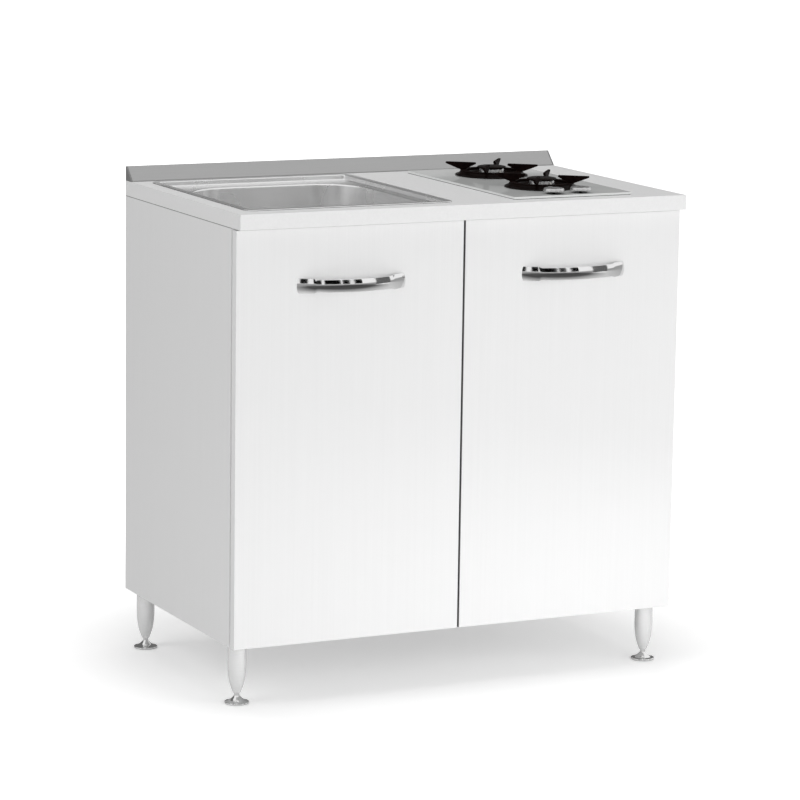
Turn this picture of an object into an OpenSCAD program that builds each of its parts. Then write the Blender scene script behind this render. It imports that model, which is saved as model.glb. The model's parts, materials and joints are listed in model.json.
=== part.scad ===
// Free-standing kitchenette unit: two-door base cabinet on levelling legs, with a worktop that
// carries an inset sink on the left and a two-burner glass gas hob on the right.
// Millimetres. X runs to the right, the doors face -Y, Z is up, and the floor is z = 0.
// The origin is on the floor, under the middle of the whole unit, handles included.

/* [Worktop] */
// Width of the worktop and of the cabinet under it
worktop_w = 900; // [860:10:1000]
// Depth of the worktop
worktop_d = 550; // [540:10:620]
// Thickness of the worktop
worktop_t = 28; // [25:1:38]
// Height of the worktop's top face above the floor
worktop_top_z = 900; // [860:5:930]
// How far the worktop stands in front of the doors
worktop_overhang = 20; // [10:1:28]

/* [Cabinet] */
// Thickness of the cabinet's boards
board_t = 18; // [16:1:19]
// Height of the front and rear rails under the worktop
rail_h = 60; // [50:1:72]
// Thickness of the back panel
back_t = 3; // [2.5:0.5:4]
// Depth of the groove that holds the back panel
groove_depth = 6; // [4:1:8]
// Distance from the back panel to the rear edge of the sides
back_inset = 20; // [15:1:28]
// Width of the opening for pipes in the back panel
service_w = 220; // [160:10:260]
// Height of the opening for pipes in the back panel
service_h = 190; // [150:10:220]

/* [Doors] */
// Thickness of the doors
door_t = 18; // [17:0.5:19]
// Gap between a closed door and the cabinet's front edges
door_gap = 3; // [3:0.5:5]
// Gap between the two doors
door_middle_gap = 3; // [2:0.5:4]
// Gap between a door's outer edge and the cabinet's side face
door_reveal = 1; // [0.5:0.5:2]
// Gap between the top of a door and the worktop
door_top_gap = 3; // [2:0.5:5]

/* [Handles] */
// Distance between the handle's two screws
handle_pitch = 192; // [160:32:192]
// Length of the handle beyond each screw
handle_end = 11; // [8:1:16]
// How far the handle stands out from the door
handle_out = 32; // [28:1:36]
// Height of the handle's strip between its wide ends
handle_h = 23; // [14:1:25]
// Height of the handle's wide ends
handle_end_h = 27; // [26:1:32]
// Length of each wide end, with the curve that leads to it
handle_end_len = 35; // [28:1:42]
// Thickness of the handle's strip
handle_t = 6; // [4:0.5:7]
// Distance from the top of the door down to the handle
handle_drop = 103; // [70:1:140]

/* [Hinges] */
// Diameter of the hinge cup in the door
cup_d = 35; // [34:0.5:36]
// Depth of the hinge cup
cup_depth = 13; // [12.5:0.25:13.5]
// Distance from the door's edge to the hinge cup
cup_edge = 3; // [2.5:0.25:3.5]
// Distance from the door's edge to the hinge pin
pin_edge = 7.5; // [7:0.25:7.5]
// Diameter of the hinge pin
hinge_pin_d = 2.6; // [2:0.1:3]
// Distance from a door's bottom edge to its lower hinge
hinge_inset = 90; // [70:5:120]
// Gap between the front rail and the upper hinge's plate
hinge_rail_gap = 7; // [4:1:30]

/* [Legs] */
// Height of the cabinet's underside above the floor
leg_h = 112; // [100:1:130]
// Diameter of the leg at the top
leg_d = 34; // [28:1:38]
// Distance from the cabinet's side to a leg's centre
leg_side_inset = 28; // [24:1:60]
// Distance from the worktop's front edge to the front legs' centres
leg_front_inset = 69; // [66:1:100]
// Distance from the rear of the cabinet to the rear legs' centres
leg_rear_inset = 35; // [30:1:60]
// Diameter of a foot
foot_d = 45; // [36:1:48]
// Diameter of the foot's threaded stem
stem_d = 10; // [8:0.5:11]
// How far a foot can be wound down
foot_travel = 12; // [6:1:15]

/* [Sink] */
// Distance from the worktop's left edge to the sink's rim
sink_left = 30; // [25:1:45]
// Distance from the worktop's front edge to the sink's rim
sink_front = 40; // [36:1:50]
// Width of the sink over its rim
sink_w = 410; // [380:5:420]
// Distance from the worktop's rear edge to the sink's rim
sink_rear = 45; // [40:1:60]
// Thickness of the sink's sheet
sink_sheet = 1; // [0.8:0.1:1.2]
// Width of the flat rim on the worktop
sink_rim_w = 11; // [9:1:14]
// How far the ledge lies below the rim
ledge_drop = 10; // [6:1:14]
// Width of the ledge on the left and at the front
ledge_near = 14; // [10:1:20]
// Width of the ledge on the right
ledge_side = 4; // [2:1:12]
// Width of the ledge at the back
ledge_rear = 36; // [20:1:50]
// Depth of the bowl below the ledge
bowl_depth = 150; // [120:5:180]
// Radius of the bowl's corners seen from above
bowl_corner_r = 95; // [60:5:110]
// Diameter of the hole for the waste
drain_hole_d = 72; // [60:1:80]

/* [Waste] */
// Diameter of the waste's outlet and of the pipes after it
pipe_d = 40; // [32:1:42]
// Wall of the waste pipe
pipe_wall = 2.5; // [2:0.5:3]
// Length of the trap's bottle
trap_h = 90; // [70:5:110]
// Diameter of the trap's bottle
trap_d = 66; // [60:1:80]

/* [Hob] */
// Distance from the worktop's right edge to the hob's glass
hob_right = 95; // [60:5:130]
// Distance from the worktop's front edge to the hob's glass
hob_front = 38; // [34:1:50]
// Width of the hob's glass
hob_w = 245; // [235:5:280]
// Distance from the worktop's rear edge to the hob's glass
hob_rear = 60; // [45:1:80]
// Thickness of the glass
glass_t = 4; // [3:0.5:6]
// Depth of the hob's tray below the glass
tray_depth = 46; // [42:1:60]
// Distance from the hob's rear edge to the rear burner's centre
burner_rear = 120; // [105:5:125]
// Distance from the hob's front edge to the front burner's centre
burner_front = 127; // [115:1:140]
// Distance between the two knobs
knob_pitch = 56; // [48:1:70]
// Distance from the hob's front edge to the knobs' centres
knob_front = 26; // [24:1:32]
// Diameter of a knob
knob_d = 39; // [30:1:42]
// Height of a knob
knob_h = 7.5; // [7:0.5:14]
// How far a knob is pushed in
knob_push = 3; // [2:0.5:4]

/* [Burners] */
// Diameter of the black cup under a burner
burner_cup_d = 140; // [126:2:150]
// Height of the cup above the glass
burner_cup_h = 7; // [6.5:0.5:10]
// Diameter of the burner's crown
crown_d = 48; // [40:1:52]
// Height of the burner's crown
crown_h = 7.5; // [7:0.5:12]
// Number of flame slots in a crown
flame_slots = 24; // [16:2:32]
// Diameter of the burner's cap
cap_d = 56; // [50:1:58]
// Distance across a pan support, from tip to tip
support_span = 180; // [160:2:190]
// Width of the ring that carries a pan support's arms
support_ring_w = 12; // [8:0.5:14]
// Thickness of a pan support's arm
support_t = 4.5; // [3:0.5:6]
// Height of a pan support's top above the burner's cap
support_rise = 4; // [3:0.5:8]
// Turn of the pan supports from the glass's diagonals
support_turn = 8; // [0:1:20]

/* [Splashback] */
// Height of the splashback profile
splash_h = 27; // [22:1:34]
// Depth of the splashback profile
splash_d = 28; // [22:1:32]
// Wall of the splashback profile
splash_wall = 1.5; // [1.2:0.1:2]

/* [Fits] */
// Radial clearance of a pin, spindle or stem that turns or slides
running_clearance = 0.06; // [0.03:0.01:0.09]
// Clearance of pieces that are set into each other
seat_clearance = 0.1; // [0.05:0.05:0.2]
// Clearance round the sink and the hob in the worktop's cut-outs
cutout_clearance = 4; // [3:0.5:5]

/* [Hidden] */

$fn = 64;
eps = 0.5;

// Main planes of the cabinet
overall_d = worktop_d + max(0, handle_out - worktop_overhang);
y_back = overall_d / 2;
y_front = y_back - worktop_d;
half_w = worktop_w / 2;
inner_x = half_w - board_t;
under_z = worktop_top_z - worktop_t;
floor_z = leg_h + board_t;
door_front_y = y_front + worktop_overhang;
door_back_y = door_front_y + door_t;
carcass_y = door_back_y + door_gap;
back_y = y_back - back_inset - back_t;
rail_z = under_z - rail_h;

// Doors, handles and hinges
door_w = half_w - door_reveal - door_middle_gap / 2;
door_z = leg_h;
door_h = under_z - door_top_gap - door_z;
door_mid_x = door_middle_gap / 2 + door_w / 2;
handle_z = door_z + door_h - handle_drop;
handle_chord = handle_pitch + 2 * handle_end;
handle_r = (pow(handle_chord / 2, 2) + pow(handle_out, 2)) / (2 * handle_out);
handle_screw_r = 2;
handle_screw_grip = 4;
handle_foot_t = 5;
handle_foot_r = handle_h / 2 - 3;
handle_flare_r = 12;
handle_edge_r = 1.5;
pin_x = half_w - door_reveal - pin_edge;
cup_x = half_w - door_reveal - cup_edge - cup_d / 2;
cup_wall = 1;
knuckle_wall = 1.1;
knuckle_r = hinge_pin_d / 2 + knuckle_wall;
knuckle_gap = 0.6;
knuckle_side_gap = 0.32;
pin_y = door_back_y - cup_depth + cup_wall + knuckle_gap + knuckle_r;
knuckle_h = 2 * sqrt(pow(cup_d / 2 - cup_wall, 2)
    - pow(pin_x - cup_x + knuckle_r + knuckle_side_gap, 2));
arm_t = 2.5;
arm_side_gap = 1.75;
arm_start = 12;
arm_len = 48;
plate_t = 2;
plate_h = 52;
hinge_zs = [door_z + hinge_inset, rail_z - hinge_rail_gap - plate_h / 2];
plate_setback = 20;
plate_len = 34;
plate_screw_d = 5;
plate_screw_pitch = 32;

// Cam fittings and dowels
cam_d = 15;
cam_h = 12.5;
cam_from_end = 24;
cam_bolt_d = 7;
cam_bolt_thread = 5;
cam_bolt_in_side = 11;
dowel_d = 8;
dowel_in_side = 12;
dowel_in_board = 18;
fitting_spread = 32;
fitting_front = 60;
fitting_rear = 90;
bottom_fittings = [carcass_y + fitting_front, y_back - fitting_rear];

// Legs and feet
socket_flange = 2;
socket_plug_d = 20;
socket_plug_h = 12;
leg_top_z = leg_h - socket_flange;
leg_bottom_z = 20;
leg_xs = [-half_w + leg_side_inset, half_w - leg_side_inset];
leg_ys = [y_front + leg_front_inset, y_back - leg_rear_inset];
stem_grip = 20;
stem_top_z = leg_bottom_z + foot_travel + stem_grip;
stem_bore_z = stem_top_z + 4;

// Splashback
splash_cap_t = 3;
splash_plug = 6;
splash_screw_xs = [-0.42, -0.14, 0.14, 0.42] * worktop_w;
splash_screw_y = y_back - splash_d * 0.42;
splash_screw_d = 3.2;
splash_screw_len = 15;
splash_head_d = 7;
splash_head_h = 2.2;

// Sink: rim, cut-out, ledge and bowl as [x low, x high, y low, y high]
sink_rim = [-half_w + sink_left, -half_w + sink_left + sink_w,
    y_front + sink_front, y_back - sink_rear];
sink_d = sink_rim[3] - sink_rim[2];
sink_seal_t = 1;
sink_rim_z = worktop_top_z + sink_seal_t;
step_w = 5;
sink_rim_r = sink_rim_w + step_w + 4;
ledge_z = sink_rim_z + sink_sheet - ledge_drop;
sink_cut_inset = sink_rim_w - cutout_clearance;
ledge_in = sink_rim_w + step_w;
bowl = [sink_rim[0] + ledge_in + ledge_near, sink_rim[1] - ledge_in - ledge_side,
    sink_rim[2] + ledge_in + ledge_near, sink_rim[3] - ledge_in - ledge_rear];
bowl_z = ledge_z - bowl_depth;
drain_x = (bowl[0] + bowl[1]) / 2;
drain_y = (bowl[2] + bowl[3]) / 2;
drain_fall = 4;
drain_z = bowl_z - drain_fall;
drain_flange_d = drain_hole_d + 14;
drain_flange_t = 2;
drain_cup_h = 38;
drain_cup_wall = 2;
gasket_t = 2;
nut_h = 8;
outlet_h = 22;
sink_under = drain_z - sink_sheet;
drain_cup_z = sink_under - drain_cup_h;
outlet_z = drain_cup_z - outlet_h;

// Trap and pipe
trap_nut_h = 18;
trap_nut_wall = 6;
trap_nut_edge = 2;
trap_neck_h = 16;
trap_top_z = outlet_z - trap_neck_h;
trap_z = trap_top_z - trap_h;
branch_drop = 26;
branch_z = trap_top_z - branch_drop;
branch_len = 30;
branch_y = drain_y + trap_d / 2 + branch_len;
branch_r = pipe_d / 2 + 1.5;
spigot_r = pipe_d / 2 - 1;
spigot_len = 16;
outlet_r = pipe_d / 2 - 3;
pipe_start_y = branch_y + trap_nut_h / 2 + 1;
pipe_end_y = y_back - 5;

// Hob
hob = [half_w - hob_right - hob_w, half_w - hob_right,
    y_front + hob_front, y_back - hob_rear];
hob_d = hob[3] - hob[2];
hob_x = (hob[0] + hob[1]) / 2;
hob_seal_t = 0.8;
hob_corner_r = 4;
hob_cut_inset = 9;
glass_z = worktop_top_z + hob_seal_t;
glass_top = glass_z + glass_t;
tray_inset = hob_cut_inset + cutout_clearance;
tray_z = glass_z - tray_depth;
tray_sheet = 1;
vent_len = 80;
vent_w = 5;
burner_ys = [hob[3] - burner_rear, hob[2] + burner_front];
bezel_d = 26;
bezel_h = 0.8;
knob_xs = [hob_x - knob_pitch / 2, hob_x + knob_pitch / 2];
knob_y = hob[2] + knob_front;
knob_z = glass_top + bezel_h + knob_push + 0.3;
spindle_d = 6;
spindle_top_z = knob_z + knob_h - 2.5;
burner_pipe_d = 6;
pipe_bend_r = 12;
cup_throat_z = glass_z - 12;
burner_pipe_z = cup_throat_z - 2 - burner_pipe_d / 2;
tap_outlet_rise = 10;
tap_outlet_len = 9;
tap_outlet_d = 10;
tap_d = 18;
tap_foot = 9;
tap_bite = 3;
tap_floor = 2;
rail_pipe_d = 12;
gas_rail_y = knob_y + tap_d / 2 + rail_pipe_d / 2 - tap_bite;
gas_rail_z = burner_pipe_z - tap_outlet_rise;
tap_z = gas_rail_z - tap_foot;
spindle_z = tap_z + tap_floor + knob_push + 1;
tap_top_z = glass_z - 6;
neck_d = 11;
rail_stub = 16;
rail_wall_gap = 14;
gas_run_x = hob[1] - tray_inset - rail_wall_gap;
inlet_setback = 28;
inlet_y = hob[3] - tray_inset - inlet_setback;
inlet_d = 21;
inlet_len = 22;
inlet_bore_d = 14;
inlet_bore_h = 14;

// Burners, measured up from the glass
cup_top = glass_top + burner_cup_h;
injector_d = 18;
injector_z = tray_z + 12;
crown_seat = cup_top - 2;
crown_top = crown_seat + crown_h + 2;
cap_h = 5;
cap_top = crown_top + cap_h;
support_top = cap_top + support_rise;
support_ring_h = 4;
support_cap_gap = 3;
seat_sink = 1;
cup_lip = 1;
cup_moat = 2.2;
cup_shoulder = 10;
support_ring_r = burner_cup_d / 2 - cup_shoulder;
igniter_d = 4;
igniter_r = crown_d / 2 + igniter_d / 2 + 1;
igniter_angles = [100, 280];
cup_throat_d = 2 * igniter_r + igniter_d + 4;

module box(low, high) {
    translate(low)
        cube([high[0] - low[0], high[1] - low[1], high[2] - low[2]]);
}

// Rectangle r = [x low, x high, y low, y high] with round corners, drawn inwards by inset
module round_rect(r, corner, inset = 0) {
    c = max(corner - inset, 0.5);
    x0 = r[0] + inset;
    x1 = r[1] - inset;
    y0 = r[2] + inset;
    y1 = r[3] - inset;
    translate([x0 + c, y0]) square([x1 - x0 - 2 * c, y1 - y0]);
    translate([x0, y0 + c]) square([x1 - x0, y1 - y0 - 2 * c]);
    for (x = [x0 + c, x1 - c], y = [y0 + c, y1 - c])
        translate([x, y]) circle(r = c);
}

// Cylinders along each axis, starting at a point
module rod_x(at, r, len) translate(at) rotate([0, 90, 0]) cylinder(r = r, h = len);
module rod_y(at, r, len) translate(at) rotate([-90, 0, 0]) cylinder(r = r, h = len);
module rod_z(at, r, len) translate(at) cylinder(r = r, h = len);

// ---- Cabinet ----

// Fittings of one board end: kind is "cam", "bolt", "dowel", or a bore for one of them.
// The end lies at x = inner_x; the cam goes in along the axis the caller turns it to.
module end_bolt(grow) {
    rod_x([inner_x - cam_from_end + cam_d / 2, 0, 0], cam_bolt_d / 2 + grow,
        cam_from_end - cam_d / 2 + (grow > 0 ? eps : 0));
    rod_x([inner_x - eps, 0, 0], cam_bolt_thread / 2 + grow, cam_bolt_in_side + eps + grow);
}

module end_dowel(grow) {
    rod_x([inner_x - dowel_in_board - grow, 0, 0], dowel_d / 2 + grow,
        dowel_in_board + dowel_in_side + 2 * grow);
}

module end_cam(grow) {
    rod_z([inner_x - cam_from_end, 0, -board_t / 2 - (grow > 0 ? eps : 0)], cam_d / 2 + grow,
        cam_h + (grow > 0 ? eps : 0));
}

// Puts one board end's fittings at every joint of the carcass. The bottom panel's cams open
// downwards, the rails' cams open towards the inside of the cabinet.
module at_bottom_ends(shift) {
    for (side = [0, 1], y = bottom_fittings)
        mirror([side, 0, 0]) translate([0, y + shift, leg_h + board_t / 2]) children();
}

module at_rail_ends(shift) {
    for (side = [0, 1]) {
        mirror([side, 0, 0])
            translate([0, carcass_y + board_t / 2, rail_z + rail_h / 2 + shift])
            rotate([-90, 0, 0]) mirror([0, 0, 1]) children();
        mirror([side, 0, 0])
            translate([0, back_y - board_t / 2, rail_z + rail_h / 2 + shift])
            rotate([90, 0, 0]) mirror([0, 0, 1]) children();
    }
}

module all_ends() {
    at_bottom_ends(0) children();
    at_rail_ends(fitting_spread / 4) children();
}

module all_dowel_ends() {
    at_bottom_ends(fitting_spread) children();
    at_rail_ends(-fitting_spread / 2) children();
}

module fitting_bores() {
    all_ends() {
        end_bolt(seat_clearance);
        end_cam(seat_clearance);
    }
    all_dowel_ends() end_dowel(seat_clearance);
}

module leg_plug_bores() {
    for (x = leg_xs, y = leg_ys)
        rod_z([x, y, leg_h - eps], socket_plug_d / 2 + seat_clearance,
            socket_plug_h + eps + seat_clearance);
}

module cam_locks() {
    color("silver") difference() {
        all_ends() end_cam(0);
        all_ends() rod_z([inner_x - cam_from_end, 0, -board_t / 2 - eps], 2.5, 3);
    }
}

module cam_bolts() {
    color("gainsboro") all_ends() end_bolt(0);
}

module wood_dowels() {
    color("burlywood") all_dowel_ends() end_dowel(0);
}

module side_panel() {
    color("whitesmoke") difference() {
        box([inner_x, carcass_y, leg_h], [half_w, y_back, under_z]);
        box([inner_x - eps, back_y - seat_clearance, leg_h - eps],
            [inner_x + groove_depth, back_y + back_t + seat_clearance, under_z + eps]);
        fitting_bores();
        hinge_plate_screws(seat_clearance);
        leg_plug_bores();
    }
}

module right_side_panel() side_panel();
module left_side_panel() mirror([1, 0, 0]) side_panel();

module bottom_panel() {
    color("whitesmoke") difference() {
        box([-inner_x, carcass_y, leg_h], [inner_x, y_back, floor_z]);
        box([-inner_x - eps, back_y - seat_clearance, floor_z - groove_depth],
            [inner_x + eps, back_y + back_t + seat_clearance, floor_z + eps]);
        fitting_bores();
        leg_plug_bores();
    }
}

// The rail has a notch in which the hob's tray hangs
module front_rail() {
    color("whitesmoke") difference() {
        box([-inner_x, carcass_y, rail_z], [inner_x, carcass_y + board_t, under_z]);
        box([hob[0] + hob_cut_inset, carcass_y - eps, tray_z - cutout_clearance],
            [hob[1] - hob_cut_inset, carcass_y + board_t + eps, under_z + eps]);
        fitting_bores();
    }
}

module rear_rail() {
    color("whitesmoke") difference() {
        box([-inner_x, back_y - board_t, rail_z],
            [inner_x, back_y - seat_clearance, under_z]);
        fitting_bores();
    }
}

module back_panel() {
    edge = inner_x + groove_depth - eps;
    color("white") difference() {
        box([-edge, back_y, floor_z - groove_depth + eps], [edge, back_y + back_t, under_z]);
        translate([drain_x, back_y - eps, branch_z])
            rotate([-90, 0, 0]) linear_extrude(back_t + 2 * eps)
            round_rect([-service_w / 2, service_w / 2, -service_h / 2, service_h / 2], 20);
    }
}

// Four angle brackets between the sides and the worktop
bracket_leg = 30;
bracket_w = 20;
bracket_t = 2;

module worktop_brackets() {
    color("silver") for (side = [0, 1], y = [carcass_y + board_t + 22, back_y - board_t - 32])
        mirror([side, 0, 0]) translate([inner_x, y - bracket_w / 2, under_z]) difference() {
            rotate([-90, 0, 0]) linear_extrude(bracket_w) polygon([
                [0, 0], [-bracket_leg, 0], [-bracket_leg, bracket_t],
                [-bracket_t, bracket_t], [-bracket_t, bracket_leg], [0, bracket_leg]]);
            rod_z([-bracket_leg * 0.6, bracket_w / 2, -bracket_t - eps], 2.2, bracket_t + 2 * eps);
            rod_x([-bracket_t - eps, bracket_w / 2, -bracket_leg * 0.6], 2.2,
                bracket_t + 2 * eps);
        }
}

// ---- Worktop and splashback ----

module worktop() {
    color("lightgray") difference() {
        box([-half_w, y_front, under_z], [half_w, y_back, worktop_top_z]);
        translate([0, 0, under_z - eps]) linear_extrude(worktop_t + 2 * eps) {
            round_rect(sink_rim, sink_rim_r, sink_cut_inset);
            round_rect(hob, hob_corner_r, hob_cut_inset);
        }
        for (x = splash_screw_xs)
            rod_z([x, splash_screw_y, worktop_top_z - splash_screw_len - eps],
                splash_screw_d / 2 + seat_clearance, splash_screw_len + 2 * eps);
    }
}

// Section of the splashback, drawn inwards by its wall: an upright back and a sloping front
splash_lip = 2;
splash_land = 3;

module splash_outline(wall) {
    slope = atan2(splash_h - splash_lip, splash_d - splash_land);
    shift = wall / sin(slope);
    back = splash_d - wall;
    top = splash_h - wall;
    top_front = shift + (top - splash_lip) / tan(slope);
    foot_front = shift + (wall - splash_lip) / tan(slope);
    front = wall == 0 ? [[0, splash_lip], [0, 0]] : [[foot_front, wall]];
    polygon(concat([[back, wall], [back, top], [top_front, top]], front));
}

module splash_section() {
    difference() {
        splash_outline(0);
        splash_outline(splash_wall);
    }
}

module splash_run(x0, x1) {
    translate([x0, y_back - splash_d, worktop_top_z])
        rotate([90, 0, 90]) linear_extrude(x1 - x0) children();
}

module splashback() {
    color("lightsteelblue") difference() {
        splash_run(-half_w + splash_cap_t, half_w - splash_cap_t) splash_section();
        for (x = splash_screw_xs)
            rod_z([x, splash_screw_y, worktop_top_z - eps],
                splash_screw_d / 2 + seat_clearance, splash_wall + 2 * eps);
    }
}

module splashback_end_caps() {
    color("dimgray") for (side = [0, 1])
        mirror([side, 0, 0]) {
            splash_run(half_w - splash_cap_t, half_w) splash_outline(0);
            splash_run(half_w - splash_cap_t - splash_plug, half_w - eps)
                splash_outline(splash_wall + seat_clearance);
        }
}

module splashback_screws() {
    color("silver") for (x = splash_screw_xs) {
        rod_z([x, splash_screw_y, worktop_top_z - splash_screw_len], splash_screw_d / 2,
            splash_screw_len + splash_wall);
        rod_z([x, splash_screw_y, worktop_top_z + splash_wall], splash_head_d / 2,
            splash_head_h);
    }
}

// ---- Sink ----

corner_steps = 6;
ring_n = 4 * (corner_steps + 1);

// One ring of the sink: rectangle grown by g (negative shrinks it), corner radius c, height z
function rect_ring(r, c, g, z) = [
    for (q = [0:3], k = [0:corner_steps])
        let (
            a = 90 * q + 90 * k / corner_steps,
            cx = (q == 0 || q == 3) ? r[1] - c : r[0] + c,
            cy = (q < 2) ? r[3] - c : r[2] + c
        )
        [cx + (c + g) * cos(a), cy + (c + g) * sin(a), z]
];

function round_ring(r, z) = [
    for (q = [0:3], k = [0:corner_steps])
        let (a = 90 * q + 90 * (k + 0.5) / (corner_steps + 1))
        [drain_x + r * cos(a), drain_y + r * sin(a), z]
];

// The sink's skin as rings from the rim to the drain. under = 0 is the upper face; under =
// sink_sheet is the lower face, moved along the sheet's normal at each bend.
function sink_skin(under) = [
    rect_ring(sink_rim, sink_rim_r, 0, sink_rim_z + sink_sheet - under),
    rect_ring(sink_rim, sink_rim_r, -sink_rim_w, sink_rim_z + sink_sheet - under),
    rect_ring(sink_rim, sink_rim_r, -sink_rim_w - 1.6 + under * 0.7,
        sink_rim_z + sink_sheet - 1.6 - under * 0.7),
    rect_ring(sink_rim, sink_rim_r, -sink_rim_w - 2.4 + under, ledge_z + 2.2 - under * 0.3),
    rect_ring(sink_rim, sink_rim_r, -sink_rim_w - step_w + under * 0.4, ledge_z - under),
    rect_ring(bowl, bowl_corner_r, 0, ledge_z - under),
    rect_ring(bowl, bowl_corner_r, -2.2 + under * 0.7, ledge_z - 2 - under * 0.7),
    rect_ring(bowl, bowl_corner_r, -3.2 + under, ledge_z - 6),
    rect_ring(bowl, bowl_corner_r, -9 + under, bowl_z + 30),
    rect_ring(bowl, bowl_corner_r, -13 + under * 0.9, bowl_z + 13 - under * 0.3),
    rect_ring(bowl, bowl_corner_r, -21 + under * 0.7, bowl_z + 4 - under * 0.7),
    rect_ring(bowl, bowl_corner_r, -36 + under * 0.3, bowl_z + 0.5 - under),
    round_ring(drain_flange_d / 2 + 5, drain_z + 2 - under),
    round_ring(drain_flange_d / 2 + 2, drain_z - under),
    round_ring(drain_hole_d / 2 / cos(180 / ring_n), drain_z - under)
];

function reversed(list) = [for (i = [len(list) - 1:-1:0]) list[i]];

// Closed skin through a loop of rings, each with ring_n points
module ring_loop(rings) {
    count = len(rings);
    polyhedron(
        points = [for (ring = rings) each ring],
        faces = [
            for (i = [0:count - 1], j = [0:ring_n - 1])
                let (
                    a = i * ring_n + j,
                    b = i * ring_n + (j + 1) % ring_n,
                    c = ((i + 1) % count) * ring_n + (j + 1) % ring_n,
                    d = ((i + 1) % count) * ring_n + j
                )
                each [[a, c, b], [a, d, c]]
        ]);
}

module sink_bowl() {
    color("silver") ring_loop(concat(sink_skin(0), reversed(sink_skin(sink_sheet))));
}

module sink_seal() {
    color("dimgray") translate([0, 0, worktop_top_z]) linear_extrude(sink_seal_t) difference() {
        round_rect(sink_rim, sink_rim_r, 1);
        round_rect(sink_rim, sink_rim_r, sink_cut_inset);
    }
}

// Spring clips that pull the rim down on the worktop
clip_w = 16;
clip_t = 1.2;
clip_reach = 14;

module sink_clip() {
    z_low = under_z - clip_t - worktop_top_z;
    rotate([90, 0, 0]) translate([0, 0, -clip_w / 2]) linear_extrude(clip_w) polygon([
        [clip_t / 2, sink_seal_t], [-clip_t / 2, sink_seal_t], [-clip_t / 2, z_low],
        [clip_reach, z_low], [clip_reach, z_low + clip_t], [clip_t / 2, z_low + clip_t]]);
}

module sink_clips() {
    inset = sink_cut_inset + clip_t;
    color("silver") {
        for (y = [0.2, 0.5, 0.8] * sink_d) {
            translate([sink_rim[0] + inset, sink_rim[2] + y, worktop_top_z])
                rotate([0, 0, 180]) sink_clip();
            translate([sink_rim[1] - inset, sink_rim[2] + y, worktop_top_z]) sink_clip();
        }
    }
}

module turned_at_drain() {
    translate([drain_x, drain_y, 0]) rotate_extrude($fn = 96) children();
}

module drain_body() {
    r = drain_hole_d / 2 - seat_clearance;
    bore_r = outlet_r - pipe_wall;
    color("silver") turned_at_drain() polygon([
        [bore_r, outlet_z], [outlet_r, outlet_z], [outlet_r, drain_cup_z],
        [r - 6, drain_cup_z], [r, drain_cup_z + 6], [r, drain_z],
        [drain_flange_d / 2, drain_z], [drain_flange_d / 2 - 1.5, drain_z + drain_flange_t],
        [r - drain_cup_wall - 1, drain_z + drain_flange_t],
        [r - drain_cup_wall - 2, drain_z - 3],
        [r - drain_cup_wall - 3, drain_cup_z + 8], [r - 10, drain_cup_z + drain_cup_wall],
        [bore_r, drain_cup_z + drain_cup_wall]]);
}

module drain_gasket() {
    color("darkslategray") turned_at_drain()
        translate([drain_hole_d / 2 + seat_clearance, sink_under - gasket_t])
        square([7, gasket_t]);
}

module drain_nut() {
    z0 = sink_under - gasket_t - nut_h;
    nut_r = drain_hole_d / 2 + 10;
    color("gainsboro") difference() {
        union() {
            rod_z([drain_x, drain_y, z0], nut_r, nut_h);
            for (a = [0:45:315])
                translate([drain_x, drain_y, z0]) rotate([0, 0, a])
                    translate([nut_r - 2, -4, 0]) cube([5, 8, nut_h]);
        }
        rod_z([drain_x, drain_y, z0 - eps], drain_hole_d / 2 + seat_clearance, nut_h + 2 * eps);
    }
}

basket_h = 24;

module strainer_basket() {
    lip_r = drain_hole_d / 2 - drain_cup_wall + 1.4;
    z_lip = drain_z + drain_flange_t;
    r = lip_r - 5;
    z0 = z_lip - basket_h;
    hole_rings = [[6, 10], [12, 18]];
    color("lightgray") difference() {
        turned_at_drain() polygon([
            [0, z0], [r - 4, z0], [r, z0 + 4], [r + 0.6, z_lip], [lip_r, z_lip],
            [lip_r, z_lip + 1], [r - 0.4, z_lip + 1], [r - 1, z0 + 4.4],
            [r - 4.4, z0 + 1], [3, z0 + 1], [2, z0 + 4], [2, z_lip - 4],
            [5.5, z_lip - 1.5], [5.5, z_lip + 1], [0, z_lip + 1.6]]);
        for (ring = hole_rings, i = [0:ring[0] - 1])
            translate([drain_x, drain_y, 0]) rotate([0, 0, 360 * i / ring[0]])
                rod_z([ring[1], 0, z0 - eps], 1.6, 2 + eps);
        for (i = [0:11])
            translate([drain_x, drain_y, z0 + 10]) rotate([0, 90, 30 * i])
                rod_z([0, 0, r - 4], 1.8, 6);
    }
}

module trap_body() {
    neck_r = pipe_d / 2;
    color("white") difference() {
        union() {
            turned_at_drain() polygon([
                [0, trap_z], [trap_d / 2 - 10, trap_z], [trap_d / 2 - 4, trap_z + 3],
                [trap_d / 2 - 4, trap_z + 20], [trap_d / 2, trap_z + 22],
                [trap_d / 2, trap_z + 30], [trap_d / 2 - 3, trap_z + 32],
                [trap_d / 2 - 3, trap_top_z - 10], [neck_r + 3, trap_top_z],
                [neck_r, trap_top_z], [neck_r, outlet_z], [0, outlet_z]]);
            rod_y([drain_x, drain_y, branch_z], branch_r, trap_d / 2 + branch_len);
        }
        rod_z([drain_x, drain_y, trap_top_z], pipe_d / 2 - pipe_wall, trap_neck_h + eps);
        rod_y([drain_x, branch_y - branch_len, branch_z], pipe_d / 2 - pipe_wall,
            branch_len + eps);
        rod_y([drain_x, branch_y - spigot_len - seat_clearance, branch_z],
            spigot_r + seat_clearance, spigot_len + seat_clearance + eps);
    }
}

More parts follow.
